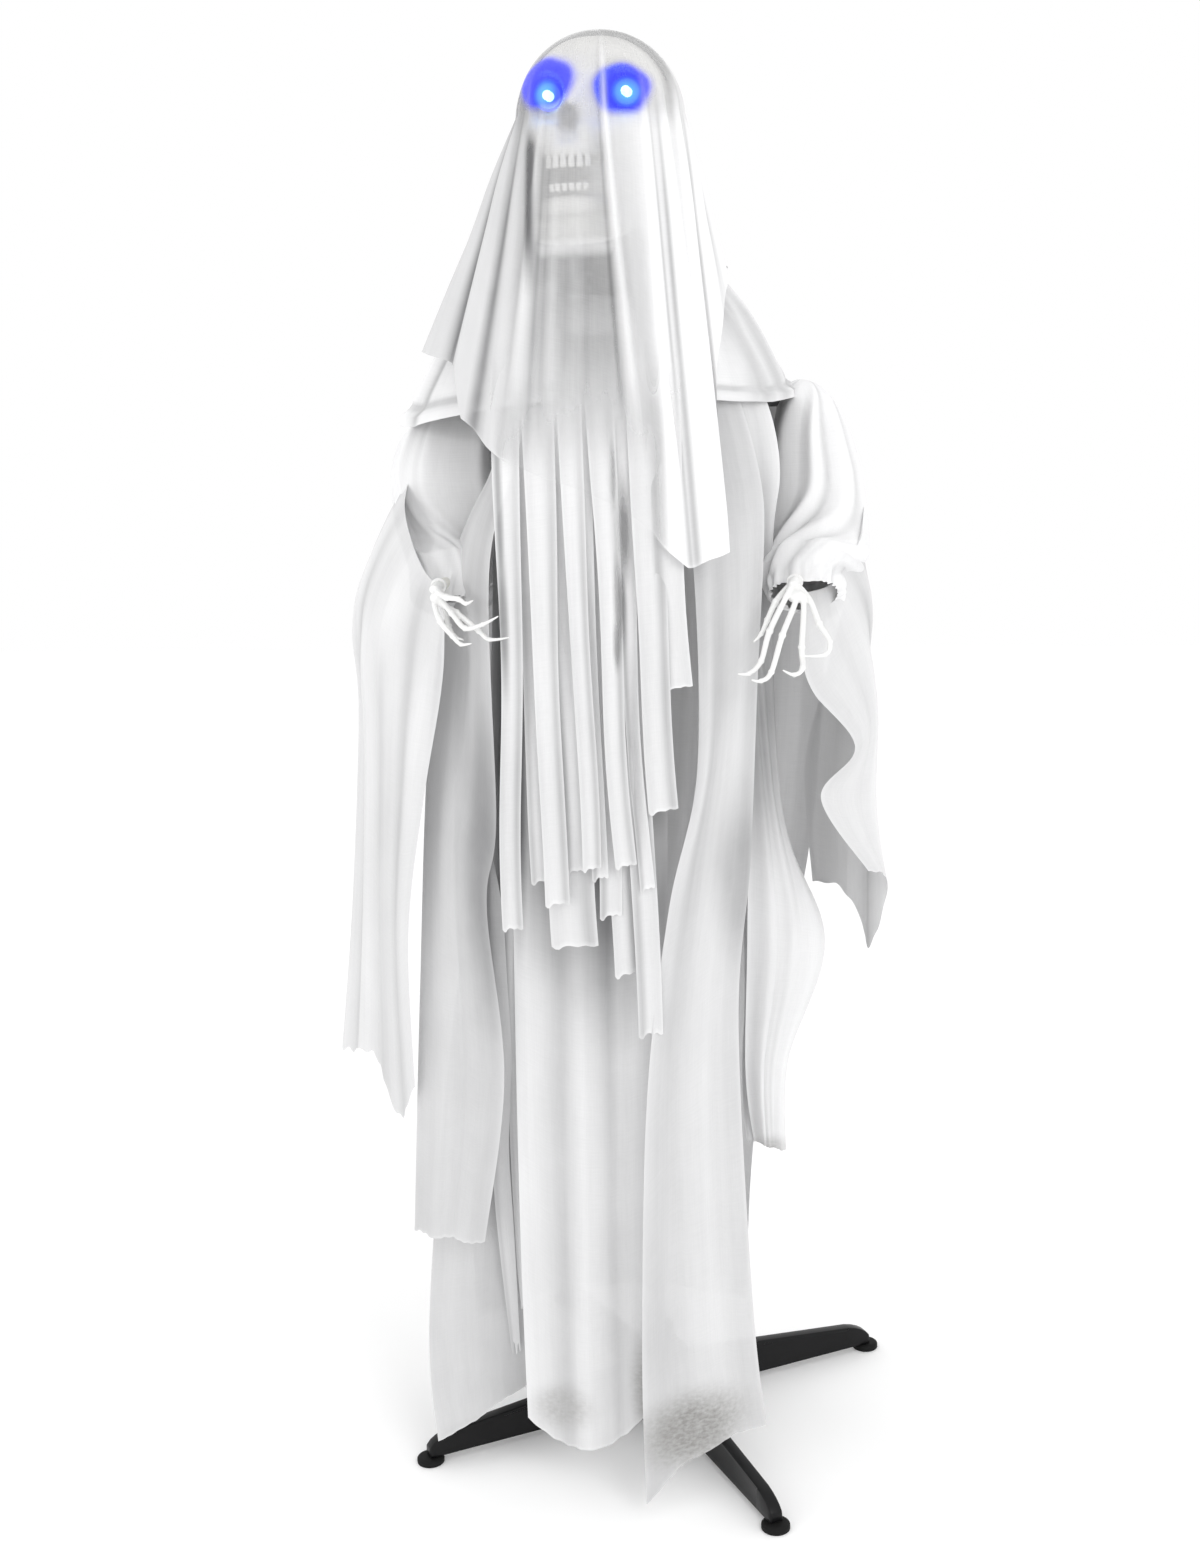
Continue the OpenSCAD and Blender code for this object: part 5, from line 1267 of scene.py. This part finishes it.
def makeVeil(s):
    obj = weave("veilPiece", lambda u, v: veilAt(2 * math.pi * u, v), **s["cloth"])
    x, y, z = places(obj).T
    front = below(y, *s["front"])
    deg = np.degrees(np.arctan2(y - s["cy"], x)) % 360
    slant = s["slant"]  # the bearings follow the long fold
    turn = slant["turn"] * np.clip((s["z"] - z) / slant["run"], 0, 1)
    deg = deg - turn * above(deg, *slant["from"]) * below(deg, *slant["to"])
    fold = painted(obj, "cover") / s["cloth"]["cover"][1]
    cover = painted(obj, "cover") + np.interp(deg, list(s["cover"]), list(s["cover"].values()))
    brow = s["brow"]
    bare = front * above(z, *brow["z"]) * within(x, *brow["x"])
    cover = mix(cover, brow["cover"] + brow["fold"] * fold, bare)
    glow, core = eyeGlow(s, x, z)
    glow = glow * front * (1 - 0.6 * np.clip(fold, 0, 1))
    thin = s["thin"]  # thins out where the strips take over
    hem = thin["share"] * below(z, *thin["z"]) * below(y, *thin["y"]) * within(x, *thin["x"])
    cover = np.maximum(cover * (1 - hem), 0.75 * glow)
    gap = s["gap"]  # painted shade for a dark gap beside the face
    seam = within(x + gap["slope"] * (gap["from"] - z), -gap["x"], gap["half"], gap["soft"])
    hollowShade = gap["dark"] * seam * below(z, *gap["top"]) * above(z, *gap["low"]) * front
    chin = s["chin"]  # a pale haze under the chin
    haze = chin["cover"] * bell(z, *chin["z"]) * front * within(x, *chin["x"])
    cover = np.maximum(np.maximum(cover, gap["cover"] * hollowShade), haze)
    # painted shade on the flaps from 150 to 240 degrees, painted light past 290 degrees
    flaps = s["flaps"]
    sideShade = flaps["dark"] * above(deg, *flaps["from"]) * below(deg, *flaps["to"])
    sideShade = sideShade - flaps["light"] * above(deg, *flaps["far"])
    paint(obj, "shade", np.clip(painted(obj, "shade") + hollowShade + sideShade, 0, 1))
    paint(obj, "cover", np.clip(cover, 0, 1))
    paint(obj, "glow", glow)
    paint(obj, "core", core * front)
    return obj


veil = makeVeil(veilSet)
finishSheet(veil, "veil", finish=gauzeLit)

stripSet = {
    "wide": 26, "top": 1360, "fade": 150, "y": -262, "x": -14, "bow": 0.0016, "curl": 3, "sway": 4.5,
    "tuck": 40, "lean": 0.12,
    "gaps": [(22, 1218, 3, 40, 0.8), (30, 1158, 7, 60, 0.85), (25, 1080, 6, 60, 0.85),
             (21, 1037, 4, 30, 0.8)],
    "shade": [(-105, 1178, 5, 120, 0.5), (-105, 1062, 7, 90, 0.5)],
    "strips": [  # x at the top and at the end, height of the end, step back, share of the width
        (-92, -107, 711, 2, 1), (-74, -75, 767, 10, 0.95), (-58, -56, 744, 3, 1.1), (-40, -35, 781, 8, 0.9),
        (-24, -15, 787, 0, 0.8), (-14, -8, 774, 7, 0.7), (8, 23, 790, 2, 0.9), (24, 43, 761, 9, 0.6),
        (-44, -37, 692, 18, 2.1), (-2, 3, 728, 17, 0.95), (10, 15, 659, 24, 1.1), (34, 42, 590, 12, 1.05),
        (56, 62, 850, 6, 1.2), (72, 82, 985, 3, 1.2),
    ],
    "cloth": {"cells": (12, 110), "flat": (0.038, 0.66), "cover": (0.72, 0.88), "hem": 0.008, "shadeTone": 0.1},
}


def stripPlace(item, seed, s=stripSet):
    top, low, end, back, share = item
    wave, curl = ripple(seed, 0.3, 1.6), ripple(seed + 1, 0.8, 2)
    turned = 1 if seed % 2 else -1
    edgeAt = 0.16 if seed % 2 else 0.84

    def place(u, v):
        wide = s["wide"] * share * mix(1.3, 1, ease(1.5 * v))
        x = mix(top, low, v) + (u - 0.5) * wide + s["sway"] * wave(0 * u, v) * v
        bend = s["curl"] * np.sin(math.pi * u) * turned + s["curl"] * curl(u, v)
        y = s["y"] + s["bow"] * (x - s["x"]) ** 2 + back * ease(3 * v) + bend * ease(2 * v)
        tuck = s["tuck"] * (1 - ease(3.2 * v)) ** 2  # leans in to the veil at the top
        z = mix(s["top"], end, v) + 5 * (u - 0.5)
        edge = bell(u, edgeAt, 0.16)  # painted shade along one edge
        return row(x, y + s["lean"] * tuck, z), 0.6 + 0.4 * np.sin(math.pi * u), 0.7 * edge * ease(2 * v)
    return place


def makeStrips(s):
    strips = []
    for k, item in enumerate(s["strips"]):
        strip = weave("strip", stripPlace(item, 100 + 7 * k), **s["cloth"])
        z = places(strip)[:, 2]
        gap = spotMask(strip, s["gaps"])
        paint(strip, "cover", painted(strip, "cover") * below(z, s["top"], s["fade"]) * (1 - gap))
        strips.append(strip)
    return joinAll("stripsPiece", strips)


strips = makeStrips(stripSet)
finishSheet(strips, "veil_strips", shade=spotMask(strips, stripSet["shade"]))
for obj in (veil, strips):
    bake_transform(obj)
print("stage: veil and strips")
